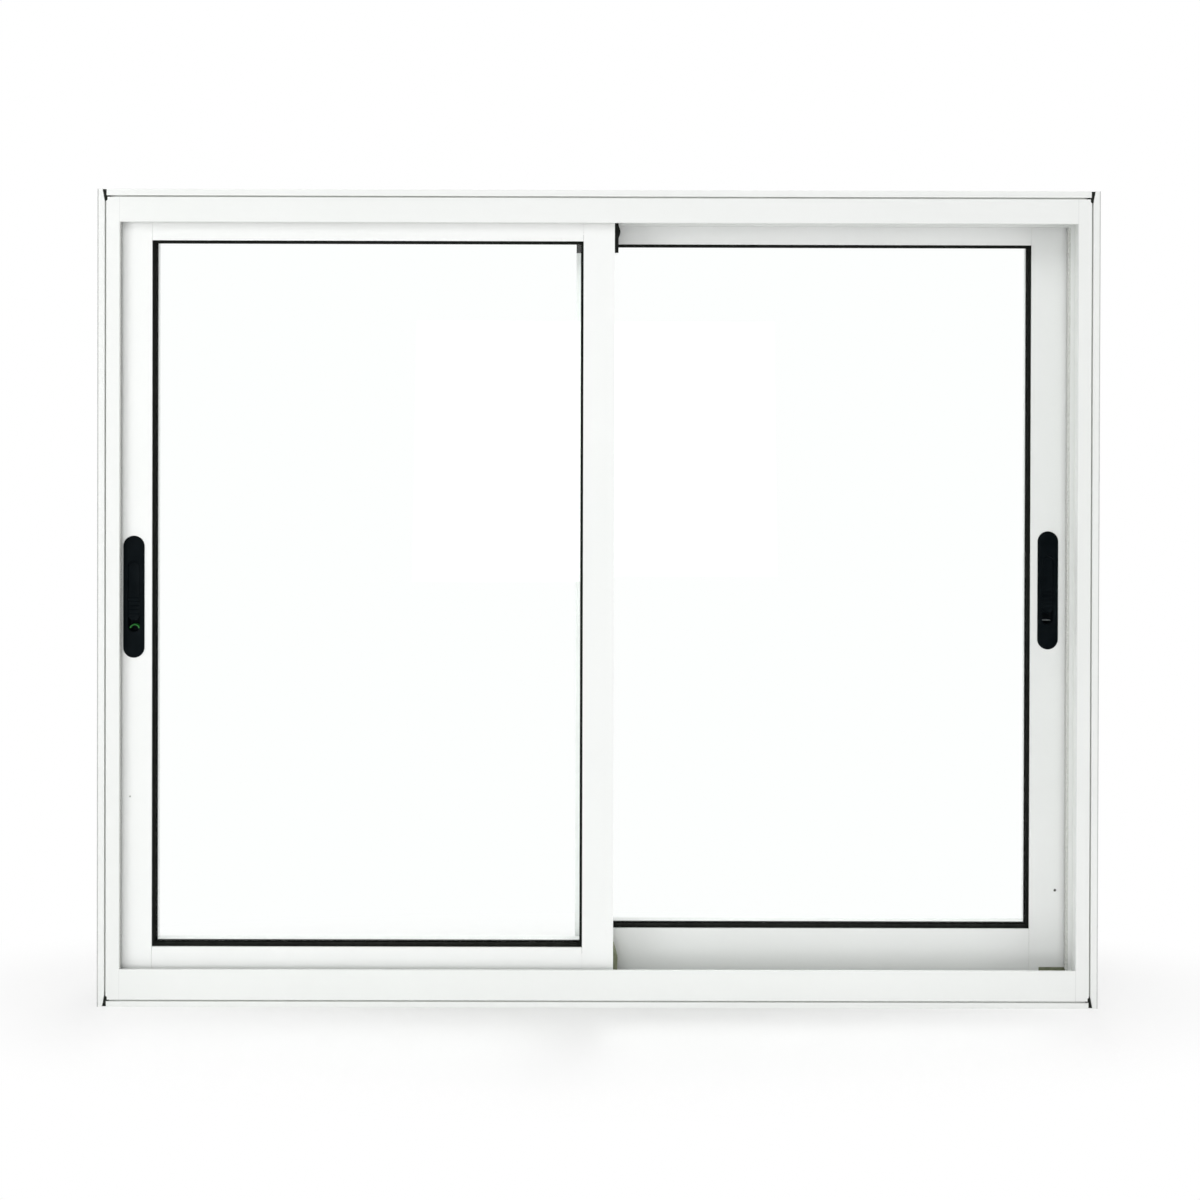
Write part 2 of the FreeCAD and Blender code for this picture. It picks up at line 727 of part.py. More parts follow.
def make_roller_case(x, centre):
    """Block inside the bottom rail, slotted for its wheel, with the axle through it."""
    case_top = sash_bottom + bottom_rail_width - pocket_depth
    case_bottom = rail_top + rail_cap_thickness + roller_case_gap
    case = box(x - roller_length / 2, x + roller_length / 2, centre - roller_case_width / 2,
               centre + roller_case_width / 2, case_bottom, case_top)
    axle_height = rail_top + rail_cap_thickness + wheel_gap + wheel_groove_radius
    slot_half = wheel_radius + wheel_slot_clearance
    slot_width = wheel_width / 2 + wheel_slot_clearance
    slot = box(x - slot_half, x + slot_half, centre - slot_width, centre + slot_width,
               case_bottom - 1, axle_height + slot_half)
    axle = Part.makeCylinder(axle_radius, roller_case_width,
                             Vector(x, centre - roller_case_width / 2, axle_height), ALONG_Y)
    return case.cut(slot).fuse(axle).removeSplitter()


def make_wheel(x, centre):
    """Grooved wheel that runs on the rail."""
    axle_height = rail_top + rail_cap_thickness + wheel_gap + wheel_groove_radius
    half = wheel_width / 2
    groove = wheel_groove_width / 2
    bore = axle_radius + axle_clearance
    outline = [(bore, -half), (wheel_radius, -half), (wheel_radius, -groove - 0.5),
               (wheel_groove_radius, -groove), (wheel_groove_radius, groove),
               (wheel_radius, groove + 0.5), (wheel_radius, half), (bore, half), (bore, -half)]
    points = [Vector(x + radius, centre + offset, axle_height) for radius, offset in outline]
    profile = Part.Face(Part.makePolygon(points))
    return profile.revolve(Vector(x, centre, axle_height), ALONG_Y, 360)


def stile_middles(side):
    """Middle X of the chamber in the lock stile and in the meeting stile."""
    lock = side * (sash_outer - (stile_width - pocket_depth) / 2)
    meeting = -side * (meeting_outer - (meeting_width - pocket_depth) / 2)
    return lock, meeting


def make_top_guides(side, centre):
    """Plastic blocks plugged into the tops of the stiles, running between the head's legs."""
    guides = []
    plug_half = sash_thickness / 2 - sash_wall - guide_clearance
    top_half = track_pitch / 2 - frame_wall / 2 - guide_side_gap
    for x in stile_middles(side):
        top = box(x - guide_length / 2, x + guide_length / 2, centre - top_half, centre + top_half,
                  sash_top, sash_top + guide_height)
        plug_reach = guide_length / 2 - 4 * sash_wall
        plug = box(x - plug_reach, x + plug_reach, centre - plug_half, centre + plug_half,
                   sash_top - guide_plug_depth, sash_top)
        guides.append(top.fuse(plug).removeSplitter())
    return guides


def make_feet(side, face):
    """Plastic feet plugged into the stiles from below, notched over the rail."""
    feet = []
    centre = face + sash_thickness / 2
    gap = guide_clearance
    back = face + sash_thickness
    spans = ((sash_outer, sash_outer - stile_width + pocket_depth, True),
             (-meeting_outer, meeting_width - meeting_outer - pocket_depth, False))
    for outer, inner, windowed in spans:
        inward = 1 if inner > outer else -1
        x_low, x_high = across(side, outer + inward * gap, inner - inward * gap)
        foot = box(x_low, x_high, face + gap, back - gap, sash_bottom - foot_sole, sash_bottom)
        if windowed:
            foot = foot.fuse(box(x_low, x_high, face + gap, face + 3 * sash_wall, sash_bottom,
                                 sash_bottom + foot_window_height - gap))
        x_low, x_high = across(side, outer + inward * (sash_wall + gap), inner - inward * gap)
        plug = box(x_low, x_high, face + sash_wall + gap, back - sash_wall - gap,
                   sash_bottom, sash_bottom + foot_plug_height)
        if windowed:
            outer_wall = across(side, outer + inward * (sash_wall + gap), outer + inward * -1)
            foot = foot.cut(box(*outer_wall, face + sash_wall, back + 1,
                                sash_bottom, sash_bottom + foot_plug_height))
        feet.append(foot.fuse(plug).cut(rail_notch(centre)).removeSplitter())
    return feet


def make_sash(name, side, face):
    """Write every piece of one sash. Side -1 locks at the left, +1 at the right."""
    centre = face + sash_thickness / 2
    save(name + "_lock_stile", make_lock_stile(side, face))
    save(name + "_meeting_stile", make_meeting_stile(side, face))
    save(name + "_top_rail", make_rail(face, side, True))
    save(name + "_bottom_rail", make_rail(face, side, False))
    save(name + "_glass", make_glass(side, face))
    save(name + "_inner_gasket", make_gasket(side, face, True))
    save(name + "_outer_gasket", make_gasket(side, face, False))
    save(name + "_interlock", make_interlock(side, face))
    save(name + "_interlock_caps", *make_interlock_caps(side, face))
    save(name + "_latch_body", latch_solid(side, face))
    save(name + "_latch_slider", slider_solid(side, face))
    cases = [make_roller_case(x, centre) for x in roller_places(side)]
    save(name + "_roller_cases", *cases)
    wheels = [make_wheel(x, centre) for x in roller_places(side)]
    save(name + "_roller_wheels", *wheels)
    save(name + "_top_guides", *make_top_guides(side, centre))
    save(name + "_feet", *make_feet(side, face))


save("left_jamb", make_jamb(-1))
save("right_jamb", make_jamb(1))
save("head", make_head())
save("sill", make_sill())
save("front_rail_cap", make_rail_cap(-track_centre))
save("rear_rail_cap", make_rail_cap(track_centre))
save("left_keeper", make_keeper(-1, -track_centre))
save("right_keeper", make_keeper(1, track_centre))
save("left_bumpers", *make_bumpers(-1, -track_centre))
save("right_bumpers", *make_bumpers(1, track_centre))
save("track_end_blocks", *make_end_blocks())
save("left_jamb_seal", make_jamb_seal(-1))
save("right_jamb_seal", make_jamb_seal(1))
save("head_seals", *make_level_seals(head_edge + seal_peek, head_edge + seal_peek + seal_width))
save("sill_seals", *make_level_seals(sill_back_leg - seal_peek - seal_width, sill_back_leg - seal_peek))
save("drain_covers", *make_drain_covers())
save("corner_pads", *make_corner_pads())
save("frame_screws", *make_frame_screws())
make_sash("front", -1, front_sash_face)
make_sash("rear", 1, front_sash_face + track_pitch)
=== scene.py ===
# %% [markdown]
# # A white sliding window
# The window's aluminium, glass and hardware come from a CAD model that is already measured and
# already moves. This lesson dresses it: it lights it, gives every surface its finish, and adds
# the small soft and moulded pieces that a CAD solid only hints at. Everything is in metres. X
# runs along the window, Y goes from the room to the outside, and Z is up.

# %% Load the window
import bmesh
import bpy
import numpy as np
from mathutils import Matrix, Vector


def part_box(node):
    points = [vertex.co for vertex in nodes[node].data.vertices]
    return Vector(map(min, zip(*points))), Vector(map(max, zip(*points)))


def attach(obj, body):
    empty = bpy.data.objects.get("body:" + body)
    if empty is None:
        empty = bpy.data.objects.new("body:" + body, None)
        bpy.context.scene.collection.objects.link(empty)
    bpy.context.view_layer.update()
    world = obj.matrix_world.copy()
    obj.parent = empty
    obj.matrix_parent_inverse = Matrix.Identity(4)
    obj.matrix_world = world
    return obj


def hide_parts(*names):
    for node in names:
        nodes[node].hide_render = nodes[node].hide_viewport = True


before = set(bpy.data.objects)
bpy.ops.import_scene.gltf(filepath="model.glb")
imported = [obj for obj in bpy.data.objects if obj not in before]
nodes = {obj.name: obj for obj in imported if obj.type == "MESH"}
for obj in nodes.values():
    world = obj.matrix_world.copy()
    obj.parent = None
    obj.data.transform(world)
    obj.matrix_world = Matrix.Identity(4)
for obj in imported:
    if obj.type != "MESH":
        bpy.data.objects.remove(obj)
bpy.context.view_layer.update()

# %% [markdown]
# ## Small tools for finishes
# A finish is a tree of shader nodes. Building one by hand in code takes three lines for each
# node, so one helper makes a node, fills in its numbers and links the sockets it is given.
# Patterns read Object coordinates: they stay put when a sash slides, and they have one scale
# over the whole window.

# %% Helpers for shader nodes
def start_finish(name):
    """A new material whose node tree is still empty."""
    material = bpy.data.materials.new(name)
    material.use_nodes = True
    material.node_tree.nodes.clear()
    return material, material.node_tree


def add(tree, kind, inputs=None, **settings):
    """Add one shader node. An input that is a socket is linked, and any other is typed in."""
    node = tree.nodes.new("ShaderNode" + kind)
    for key, value in settings.items():
        setattr(node, key, value)
    for key, value in (inputs or {}).items():
        if isinstance(value, bpy.types.NodeSocket):
            tree.links.new(value, node.inputs[key])
        else:
            node.inputs[key].default_value = value
    return node


def measure(tree, operation, first, second=0.0, third=0.0):
    """A Math node's result."""
    return add(tree, "Math", {0: first, 1: second, 2: third}, operation=operation).outputs[0]


def blend_colours(tree, factor, low, high):
    """Colour that goes from low to high as factor goes from 0 to 1."""
    node = add(tree, "Mix", {0: factor, 6: low, 7: high}, data_type="RGBA")
    return node.outputs[2]


def remap(tree, value, from_low, from_high, to_low, to_high):
    """Value carried from one range to another, and held inside it."""
    node = add(tree, "MapRange", {"Value": value, "From Min": from_low, "From Max": from_high,
                                  "To Min": to_low, "To Max": to_high})
    return node.outputs["Result"]


def noise(tree, scale, detail=2.0, stretch=(1.0, 1.0, 1.0)):
    """Cloudy pattern in Object coordinates; scale is in features per metre."""
    place = add(tree, "TexCoord").outputs["Object"]
    turned = add(tree, "Mapping", {"Vector": place, "Scale": stretch}).outputs[0]
    return add(tree, "TexNoise", {"Vector": turned, "Scale": scale, "Detail": detail}).outputs["Fac"]


def relief(tree, height, depth, strength=1.0, below=None):
    """Bump of that depth in metres, laid over another bump if one is given."""
    inputs = {"Height": height, "Distance": depth, "Strength": strength}
    if below is not None:
        inputs["Normal"] = below
    return add(tree, "Bump", inputs).outputs[0]


def close_finish(tree, shader):
    """Connect the last shader to the material's output."""
    tree.links.new(shader, add(tree, "OutputMaterial").inputs["Surface"])


print("finish helpers ready")

# %% [markdown]
# ## White powder coat
# The extrusions are sprayed with dry paint powder and baked. Close up the skin is faintly
# dimpled like orange peel, and under it run the die lines that the press leaves along each
# bar, so the finish needs to know which way a bar runs. The bars are sawn after coating, so
# their end faces are bare metal: a face whose normal lies along the run is an end. The coat
# paints a little shade into the corners, from ambient occlusion. The outer edges of the real
# bars are slightly rounded and turn away from the light, so the frame's coat paints thin lines
# of shade along them in the room face. The head butts against the jambs with a hairline joint,
# which the coat draws there as a dark grey line. A sash also has two specks on it.

# %% White powder coat
frame_white, frame_shade = (0.868, 0.882, 0.868, 1), (0.838, 0.856, 0.838, 1)
# The sashes' coat is painted whiter than the frame's: painted light that makes up for the light their
# recessed faces lack
sash_white_painted_lighter, sash_tone_painted_lighter = (0.908, 0.920, 0.910, 1), (0.880, 0.896, 0.882, 1)
crease_shade = (0.79, 0.81, 0.78, 1)
sawn_metal = (0.66, 0.67, 0.68, 1)
cloud_scale, gloss_scale = 2.5, 1600.0
gloss_low, gloss_high, metal_gloss = 0.34, 0.43, 0.42
peel_scale, peel_depth = 420.0, 0.00005
die_line_scale, die_line_depth, die_line_stretch = 900.0, 0.000012, 0.004
saw_mark_scale, saw_mark_squeeze = 60.0, 25
crease_reach = 0.005
# This grey serves two marks: painted shade along the frame's rounded edges, and the dark of the hairline
# joints
shade_and_joint_grey = (0.16, 0.165, 0.16, 1)
# Each line is an axis, a place on it, half a width, and how dark it is
# The upright lines are all painted shade along the rounded edges of the jambs
upright_painted_shade_lines = (("X", -0.5994, 0.0009, 0.62), ("X", 0.5994, 0.0009, 0.50),
                 ("X", -0.5737, 0.0004, 0.10), ("X", 0.5737, 0.0004, 0.25))
# Of the level lines, those at X are the dark joints of head and sill against the jambs, and those at Z are
# painted shade along rounded edges
level_shade_and_joint_lines = (("X", -0.5737, 0.0005, 0.32), ("X", 0.5737, 0.0005, 0.10),
               ("Z", 0.9410, 0.0005, 0.20), ("Z", 0.0448, 0.0004, 0.16))
# The head's and the sill's lips begin this far from the frame's middle height, and no line crosses them
lips_from_middle, frame_middle, lip_fade = 0.4804, 0.49, 0.0002
# Each speck is its place, its radius and its colour
specks = (((0.570, 0.00875, 0.116), 0.0017, (0.05, 0.05, 0.045, 1)),
          ((-0.564, -0.03675, 0.249), 0.0011, (0.42, 0.43, 0.40, 1)))


def speck_mask(tree, centre, radius):
    """One inside a small blob at centre, nought outside, its edge broken by noise."""
    place = add(tree, "TexCoord").outputs["Object"]
    far = add(tree, "VectorMath", {0: place, 1: centre}, operation="DISTANCE").outputs["Value"]
    ragged = measure(tree, "MULTIPLY_ADD", noise(tree, 700.0), radius, far)
    return remap(tree, ragged, 1.3 * radius, 1.7 * radius, 1.0, 0.0)


def paint_shade_and_joint_lines(tree, colour, lines, keep_off_lips):
    """Thin soft lines across the room face, each where one Object coordinate has a set value: painted shade
    along rounded edges, and dark joint lines.
    """
    place = add(tree, "SeparateXYZ", {0: add(tree, "TexCoord").outputs["Object"]}).outputs
    facing = add(tree, "SeparateXYZ", {0: add(tree, "TexCoord").outputs["Normal"]}).outputs["Y"]
    room_face = remap(tree, facing, -0.9, -0.5, 1, 0)
    if keep_off_lips:
        from_middle = measure(tree, "ABSOLUTE", measure(tree, "SUBTRACT", place["Z"], frame_middle))
        inside_lips = remap(tree, from_middle, lips_from_middle - lip_fade, lips_from_middle, 1, 0)
        room_face = measure(tree, "MULTIPLY", room_face, inside_lips)
    for axis, level, half_width, depth in lines:
        away = measure(tree, "ABSOLUTE", measure(tree, "SUBTRACT", place[axis], level))
        amount = remap(tree, away, 0.3 * half_width, half_width, depth, 0)
        colour = blend_colours(tree, measure(tree, "MULTIPLY", amount, room_face), colour, shade_and_joint_grey)
    return colour


def powder_coat(name, run, white, shade, with_specks=False, lines=()):
    """White coat over a bar that runs along run, (1, 0, 0) or (0, 0, 1)."""
    material, tree = start_finish(name)
    colour = blend_colours(tree, remap(tree, noise(tree, cloud_scale), 0.35, 0.65, 0, 1), shade, white)
    crease = add(tree, "AmbientOcclusion", {"Distance": crease_reach}, samples=6).outputs["AO"]
    colour = blend_colours(tree, remap(tree, crease, 0.25, 0.8, 0, 1), crease_shade, colour)
    if lines:
        colour = paint_shade_and_joint_lines(tree, colour, lines, keep_off_lips=bool(run[0]))
    if with_specks:
        for centre, radius, dirt in specks:
            colour = blend_colours(tree, speck_mask(tree, centre, radius), colour, dirt)
    facing = add(tree, "TexCoord").outputs["Normal"]
    along = add(tree, "VectorMath", {0: facing, 1: run}, operation="DOT_PRODUCT").outputs["Value"]
    end = remap(tree, measure(tree, "ABSOLUTE", along), 0.9, 0.95, 0, 1)
    sawn_across = (1, saw_mark_squeeze, 1) if run[2] else (1, 1, saw_mark_squeeze)
    saw_marks = noise(tree, saw_mark_scale, 3.0, sawn_across)
    metal = blend_colours(tree, saw_marks, tuple(0.8 * c for c in sawn_metal[:3]) + (1,), sawn_metal)
    peel = relief(tree, noise(tree, peel_scale), peel_depth)
    across = tuple(die_line_stretch if axis else 1.0 for axis in run)
    lined = relief(tree, noise(tree, die_line_scale, 1.0, across), die_line_depth, below=peel)
    gloss = remap(tree, noise(tree, gloss_scale, 1.0), 0.3, 0.7, gloss_low, gloss_high)
    coat = add(tree, "BsdfPrincipled", {"Base Color": colour, "Roughness": gloss, "Normal": lined})
    bare = add(tree, "BsdfPrincipled", {"Base Color": metal, "Metallic": 1.0, "Roughness": metal_gloss})
    both = add(tree, "MixShader", {0: end, 1: coat.outputs[0], 2: bare.outputs[0]})
    close_finish(tree, both.outputs[0])
    return material


level_run, upright_run = (1.0, 0.0, 0.0), (0.0, 0.0, 1.0)
level_frame_coat = powder_coat("white_coat_level_frame", level_run, frame_white, frame_shade,
                               lines=level_shade_and_joint_lines)
upright_frame_coat = powder_coat("white_coat_upright_frame", upright_run, frame_white, frame_shade,
                                 lines=upright_painted_shade_lines)
level_sash_coat = powder_coat("lightened_white_coat_sash_rail", level_run, sash_white_painted_lighter, sash_tone_painted_lighter)
upright_sash_coat = powder_coat("lightened_white_coat_sash_stile", upright_run, sash_white_painted_lighter, sash_tone_painted_lighter,
                                with_specks=True)
print("powder coat in", len(upright_sash_coat.node_tree.nodes), "nodes")

# %% [markdown]
# ## Rubber, moulded plastic and nylon
# Extruded rubber is matt, with a bloom of grey. The latches are moulded in a polished tool
# that is etched to a fine grain, so they are black with a soft sheen. The end caps come from
# a plainer tool and the rollers are natural nylon, milky and faintly mottled. The feet and
# the track end blocks are moulded in olive. All five are the same recipe with other numbers:
# a mottled colour, a mottled gloss and a fine relief.

# %% Rubber, moulded plastic and nylon
def moulded(name, dark, light, patch_scale, gloss, grain_scale, grain_depth, shine=0.5):
    """Mottled plastic or rubber: colour and gloss follow clouds, and the grain is a bump."""
    material, tree = start_finish(name)
    patches = noise(tree, patch_scale, 3.0)
    colour = blend_colours(tree, remap(tree, patches, 0.3, 0.7, 0, 1), dark, light)
    rough = remap(tree, noise(tree, 2.3 * patch_scale), 0.3, 0.7, gloss[0], gloss[1])
    grain = relief(tree, noise(tree, grain_scale, 3.0), grain_depth)
    skin = add(tree, "BsdfPrincipled", {"Base Color": colour, "Roughness": rough, "Normal": grain,
                                        "Specular IOR Level": shine})
    close_finish(tree, skin.outputs[0])
    return material


rubber = moulded("black_gasket_rubber", (0.004, 0.005, 0.004, 1), (0.010, 0.011, 0.009, 1),
                 90.0, (0.5, 0.68), 1500.0, 0.00004, 0.07)
latch_black = moulded("black_latch_moulding", (0.0016, 0.0032, 0.0042, 1), (0.0038, 0.0060, 0.0074, 1),
                      60.0, (0.36, 0.46), 5200.0, 0.000012, 0.03)
cap_black = moulded("black_cap_moulding", (0.006, 0.008, 0.006, 1), (0.014, 0.016, 0.013, 1),
                    120.0, (0.5, 0.66), 2600.0, 0.00003, 0.12)
foot_olive = moulded("olive_foot_moulding", (0.19, 0.21, 0.13, 1), (0.28, 0.30, 0.20, 1),
                     120.0, (0.5, 0.66), 2600.0, 0.00003)
natural_nylon = moulded("natural_nylon", (0.64, 0.65, 0.60, 1), (0.74, 0.75, 0.71, 1),
                        45.0, (0.34, 0.46), 1800.0, 0.00002)
print("moulded finishes:", rubber.name, latch_black.name, cap_black.name, foot_olive.name,
      natural_nylon.name)

# %% [markdown]
# ## Stainless steel
# The rail caps are strip drawn through rollers, so fine scratches run along them, and the
# keepers and screws are stamped. A scratch is noise squeezed hard across the run and hardly
# at all along it. It changes both the gloss and the relief.

# %% Stainless steel
def stainless(name, stretch):
    """Brushed steel whose scratches follow the axis with the smallest stretch."""
    material, tree = start_finish(name)
    scratch = noise(tree, 1400.0, 2.0, stretch)
    colour = blend_colours(tree, noise(tree, 18.0), (0.50, 0.50, 0.49, 1), (0.62, 0.62, 0.61, 1))
    gloss = remap(tree, scratch, 0.3, 0.7, 0.22, 0.42)
    steel = add(tree, "BsdfPrincipled", {"Base Color": colour, "Metallic": 1.0, "Roughness": gloss,
                                         "Normal": relief(tree, scratch, 0.00001)})
    close_finish(tree, steel.outputs[0])
    return material


rail_steel = stainless("drawn_rail_steel", (0.01, 1.0, 1.0))
stamped_steel = stainless("stamped_steel", (1.0, 1.0, 0.03))
print("steel finishes:", rail_steel.name, stamped_steel.name)

# %% [markdown]
# ## Float glass
# The panes are clear float glass, very slightly green, and deeper green in a cut edge, where
# light has come a long way through it. Real panes are never quite flat, so a very long, very
# shallow wave bends their reflections. A real glass shader casts a dark shadow in a path
# tracer, so light on its way to a lamp is let straight through.

# %% Float glass
def float_glass(name):
    """Clear pane with green edges, and no shadow of its own."""
    material, tree = start_finish(name)
    facing = add(tree, "TexCoord").outputs["Normal"]
    through = add(tree, "VectorMath", {0: facing, 1: (0, 1, 0)}, operation="DOT_PRODUCT").outputs["Value"]
    face = remap(tree, measure(tree, "ABSOLUTE", through), 0.3, 0.6, 0, 1)
    tint = blend_colours(tree, face, (0.22, 0.55, 0.40, 1), (0.985, 1.0, 0.992, 1))
    wave = relief(tree, noise(tree, 7.0, 0.0), 0.00002)
    pane = add(tree, "BsdfPrincipled", {"Base Color": tint, "Roughness": 0.0, "IOR": 1.5,
                                        "Transmission Weight": 1.0, "Normal": wave})
    clear = add(tree, "BsdfTransparent", {"Color": (0.97, 0.985, 0.975, 1)})
    shadow = add(tree, "LightPath").outputs["Is Shadow Ray"]
    mixed = add(tree, "MixShader", {0: shadow, 1: pane.outputs[0], 2: clear.outputs[0]})
    close_finish(tree, mixed.outputs[0])
    return material


pane_glass = float_glass("clear_float_glass")
print("glass in", len(pane_glass.node_tree.nodes), "nodes")

# %% [markdown]
# ## Finishes on the CAD pieces
# Every CAD node keeps its shape and gets its finish here. Which coat a bar gets depends on
# the way it runs.

# %% Put the finishes on the CAD nodes
finish_of = {
    "left_jamb": upright_frame_coat, "right_jamb": upright_frame_coat,
    "head": level_frame_coat, "sill": level_frame_coat,
    "front_rail_cap": rail_steel, "rear_rail_cap": rail_steel,
    "left_keeper": stamped_steel, "right_keeper": stamped_steel, "frame_screws": stamped_steel,
    "left_bumpers": rubber, "right_bumpers": rubber, "corner_pads": cap_black,
    "left_jamb_seal": rubber, "right_jamb_seal": rubber, "head_seals": rubber, "sill_seals": rubber,
    "drain_covers": natural_nylon, "track_end_blocks": foot_olive,
}
sash_finishes = {
    "lock_stile": upright_sash_coat, "meeting_stile": upright_sash_coat, "interlock": upright_sash_coat,
    "top_rail": level_sash_coat, "bottom_rail": level_sash_coat, "glass": pane_glass,
    "inner_gasket": rubber, "outer_gasket": rubber, "interlock_caps": cap_black,
    "latch_body": latch_black, "latch_slider": latch_black, "roller_cases": natural_nylon,
    "roller_wheels": natural_nylon, "top_guides": cap_black, "feet": foot_olive,
}
for sash in ("front", "rear"):
    finish_of.update({sash + "_" + piece: finish for piece, finish in sash_finishes.items()})
for name, finish in finish_of.items():
    nodes[name].data.materials.clear()
    nodes[name].data.materials.append(finish)
print(len(finish_of), "CAD nodes have a finish;", sorted(set(nodes) - set(finish_of)), "have none")

# %% [markdown]
# ## From arrays to a mesh
# Every new piece below is a surface worked out with numpy: a sheet of points in rows and
# columns. One helper joins the points of a sheet into four-sided faces, and one closes a tube
# of rings with a flat face at each end. One gives a ring the shape of a square with soft
# corners, and one stacks several sheets into one mesh. The last makes a Blender object of the
# arrays, and turns the faces over if they don't look outward: the signed volume under all of
# them is positive if they do.

# %% Helpers for numpy surfaces
def sheet_faces(rows, columns, join_rows=False, join_columns=False):
    """Faces of a rows by columns sheet, whose last row or column may join the first."""
    row, column = np.meshgrid(np.arange(rows if join_rows else rows - 1),
                              np.arange(columns if join_columns else columns - 1), indexing="ij")
    next_row, next_column = (row + 1) % rows, (column + 1) % columns
    corners = [row * columns + column, row * columns + next_column,
               next_row * columns + next_column, next_row * columns + column]
    return np.stack(corners, axis=-1).reshape(-1, 4).tolist()


def end_faces(rows, columns, swapped=False):
    """The first and the last ring of a sheet as two flat faces; swapped turns both over."""
    first = list(range(columns))
    last = list(range((rows - 1) * columns, rows * columns))
    return [first, last[::-1]] if swapped else [first[::-1], last]


def soft_square(count, power):
    """Round a square from -1 to 1: sign(cos) |cos|^power and the same of sin, at count points."""
    angle = (np.arange(count) + 0.5) * 2 * np.pi / count
    return [np.sign(wave) * np.abs(wave) ** power for wave in (np.cos(angle), np.sin(angle))]


def stack(parts):
    """Several (points, faces) parts as one, the later faces counting on from earlier points."""
    starts = np.cumsum([0] + [len(points) for points, _ in parts])
    faces = [[int(start) + corner for corner in face]
             for (_, part_faces), start in zip(parts, starts) for face in part_faces]
    return np.concatenate([points for points, _ in parts]), faces


def vertex_places(mesh):
    """Places of a mesh's vertices, one row for each."""
    places = np.empty(len(mesh.vertices) * 3)
    mesh.vertices.foreach_get("co", places)
    return places.reshape(-1, 3)


def signed_volume(mesh):
    """Sum over the triangles of a . (b x c) / 6, which is positive if they look outward."""
    mesh.calc_loop_triangles()
    corners = np.empty(len(mesh.loop_triangles) * 3, dtype=int)
    mesh.loop_triangles.foreach_get("vertices", corners)
    a, b, c = vertex_places(mesh)[corners].reshape(-1, 3, 3).transpose(1, 0, 2)
    middle = a.mean(0)
    sixfold = np.einsum("ij,ij->i", a - middle, np.cross(b - middle, c - middle))
    return float(sixfold.sum() / 6)


def make_piece(name, part, finish, body, replaced, sharp_degrees=35):
    """A Blender object from (points, faces), riding on a body in place of CAD nodes."""
    points, faces = part
    mesh = bpy.data.meshes.new(name)
    mesh.from_pydata(points.tolist(), [], faces)
    if signed_volume(mesh) < 0:
        mesh.flip_normals()
    mesh.shade_smooth()
    mesh.set_sharp_from_angle(angle=np.radians(sharp_degrees))
    mesh.materials.append(finish)
    piece = bpy.data.objects.new(name, mesh)
    bpy.context.scene.collection.objects.link(piece)
    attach(piece, body)
    if replaced:
        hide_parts(*replaced)
    print(name, len(faces), "faces")
    return piece


# %% [markdown]
# ## Glazing gaskets
# A gasket is one rubber profile pushed in round the pane, with mitred corners. The shown nose
# is rounded and has a thin shadow line in it, and a lip leans on the glass. It could be a
# curve with a bevel, but then the mitres would swell. Carrying the profile round the four
# corners of the opening gives true mitres: a point at depth into the opening only moves each
# corner inward by that much on both axes. Along the outer sash's meeting stile the nose is
# kept low, so that none of it shows past the room-side stile when the window is shut.

# %% Glazing gaskets
# Each row is millimetres into the opening, then millimetres from the shown side to the glass
gasket_profile = np.array([
    [-8.0, 0.25], [-7.6, 0.0], [-0.15, 0.0], [0.0, 0.12], [1.2, 0.15], [2.2, 0.45], [2.85, 0.95],
    [3.15, 1.6], [3.1, 2.15], [2.75, 2.4], [2.75, 2.65], [3.15, 2.9], [3.3, 3.5], [3.25, 4.1],
    [3.0, 4.5], [-7.6, 4.5], [-8.0, 4.25],
]) / 1000
gasket_grip = 0.008
low_nose = 0.1


def gasket_ring(node, room_side, left_share):
    """Profile (s, t) at the four corners: centre + sign * (half size - s), and t in depth.

    On the left side only left_share of the nose's reach is left.
    """
    low, high = (np.array(corner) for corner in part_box(node))
    centre = (low + high) / 2
    half = (high - low) / 2 - gasket_grip
    signs = np.array([[-1, -1], [1, -1], [1, 1], [-1, 1]])
    inward, depth = gasket_profile.T
    share = np.where((signs[:, :1] < 0) & (inward > 0), left_share, 1.0)
    x = centre[0] + signs[:, :1] * (half[0] - share * inward)
    z = centre[2] + signs[:, 1:] * (half[2] - inward)
    y = np.broadcast_to(low[1] + depth if room_side else high[1] - depth, x.shape)
    points = np.stack([x, y, z], axis=-1).reshape(-1, 3)
    return points, sheet_faces(4, len(gasket_profile), join_rows=True, join_columns=True)


for sash in ("front", "rear"):
    for side, room_side in (("inner", True), ("outer", False)):
        node = f"{sash}_{side}_gasket"
        ring = gasket_ring(node, room_side, low_nose if sash == "rear" else 1.0)
        make_piece(node + "_rubber", ring, rubber, sash + "_sash", [node])

# %% [markdown]
# ## Brush seals
# The slot between frame and sash is closed by pile: a thin backing tape with thousands of
# stiff grey hairs that lean on the coat. Real hair curves would be lost in the export and
# would be far too many, so each tuft is a four-sided spike. All the tufts are made at once:
# an array of roots, an array of tips and one spike's faces counted on for every root. One more
# strip stands on the end of each jamb's middle leg and closes the gap to the lock stile.

# %% Brush seals
# Painted light: the pile's grey is made pale, so that the shade in the slots reads light
def pile_painted_pale(name):
    """Grey fibre, painted pale so that the pile reads light in its shaded slots, and paler still at some
    tufts.
    """
    material, tree = start_finish(name)
    shade = remap(tree, noise(tree, 900.0, 2.0), 0.3, 0.7, 0, 1)
    colour = blend_colours(tree, shade, (0.52, 0.53, 0.50, 1), (0.76, 0.77, 0.74, 1))
    fibre = add(tree, "BsdfPrincipled", {"Base Color": colour, "Roughness": 0.85, "Sheen Weight": 0.3,
                                         "Normal": relief(tree, noise(tree, 3000.0), 0.0001)})
    close_finish(tree, fibre.outputs[0])
    return material


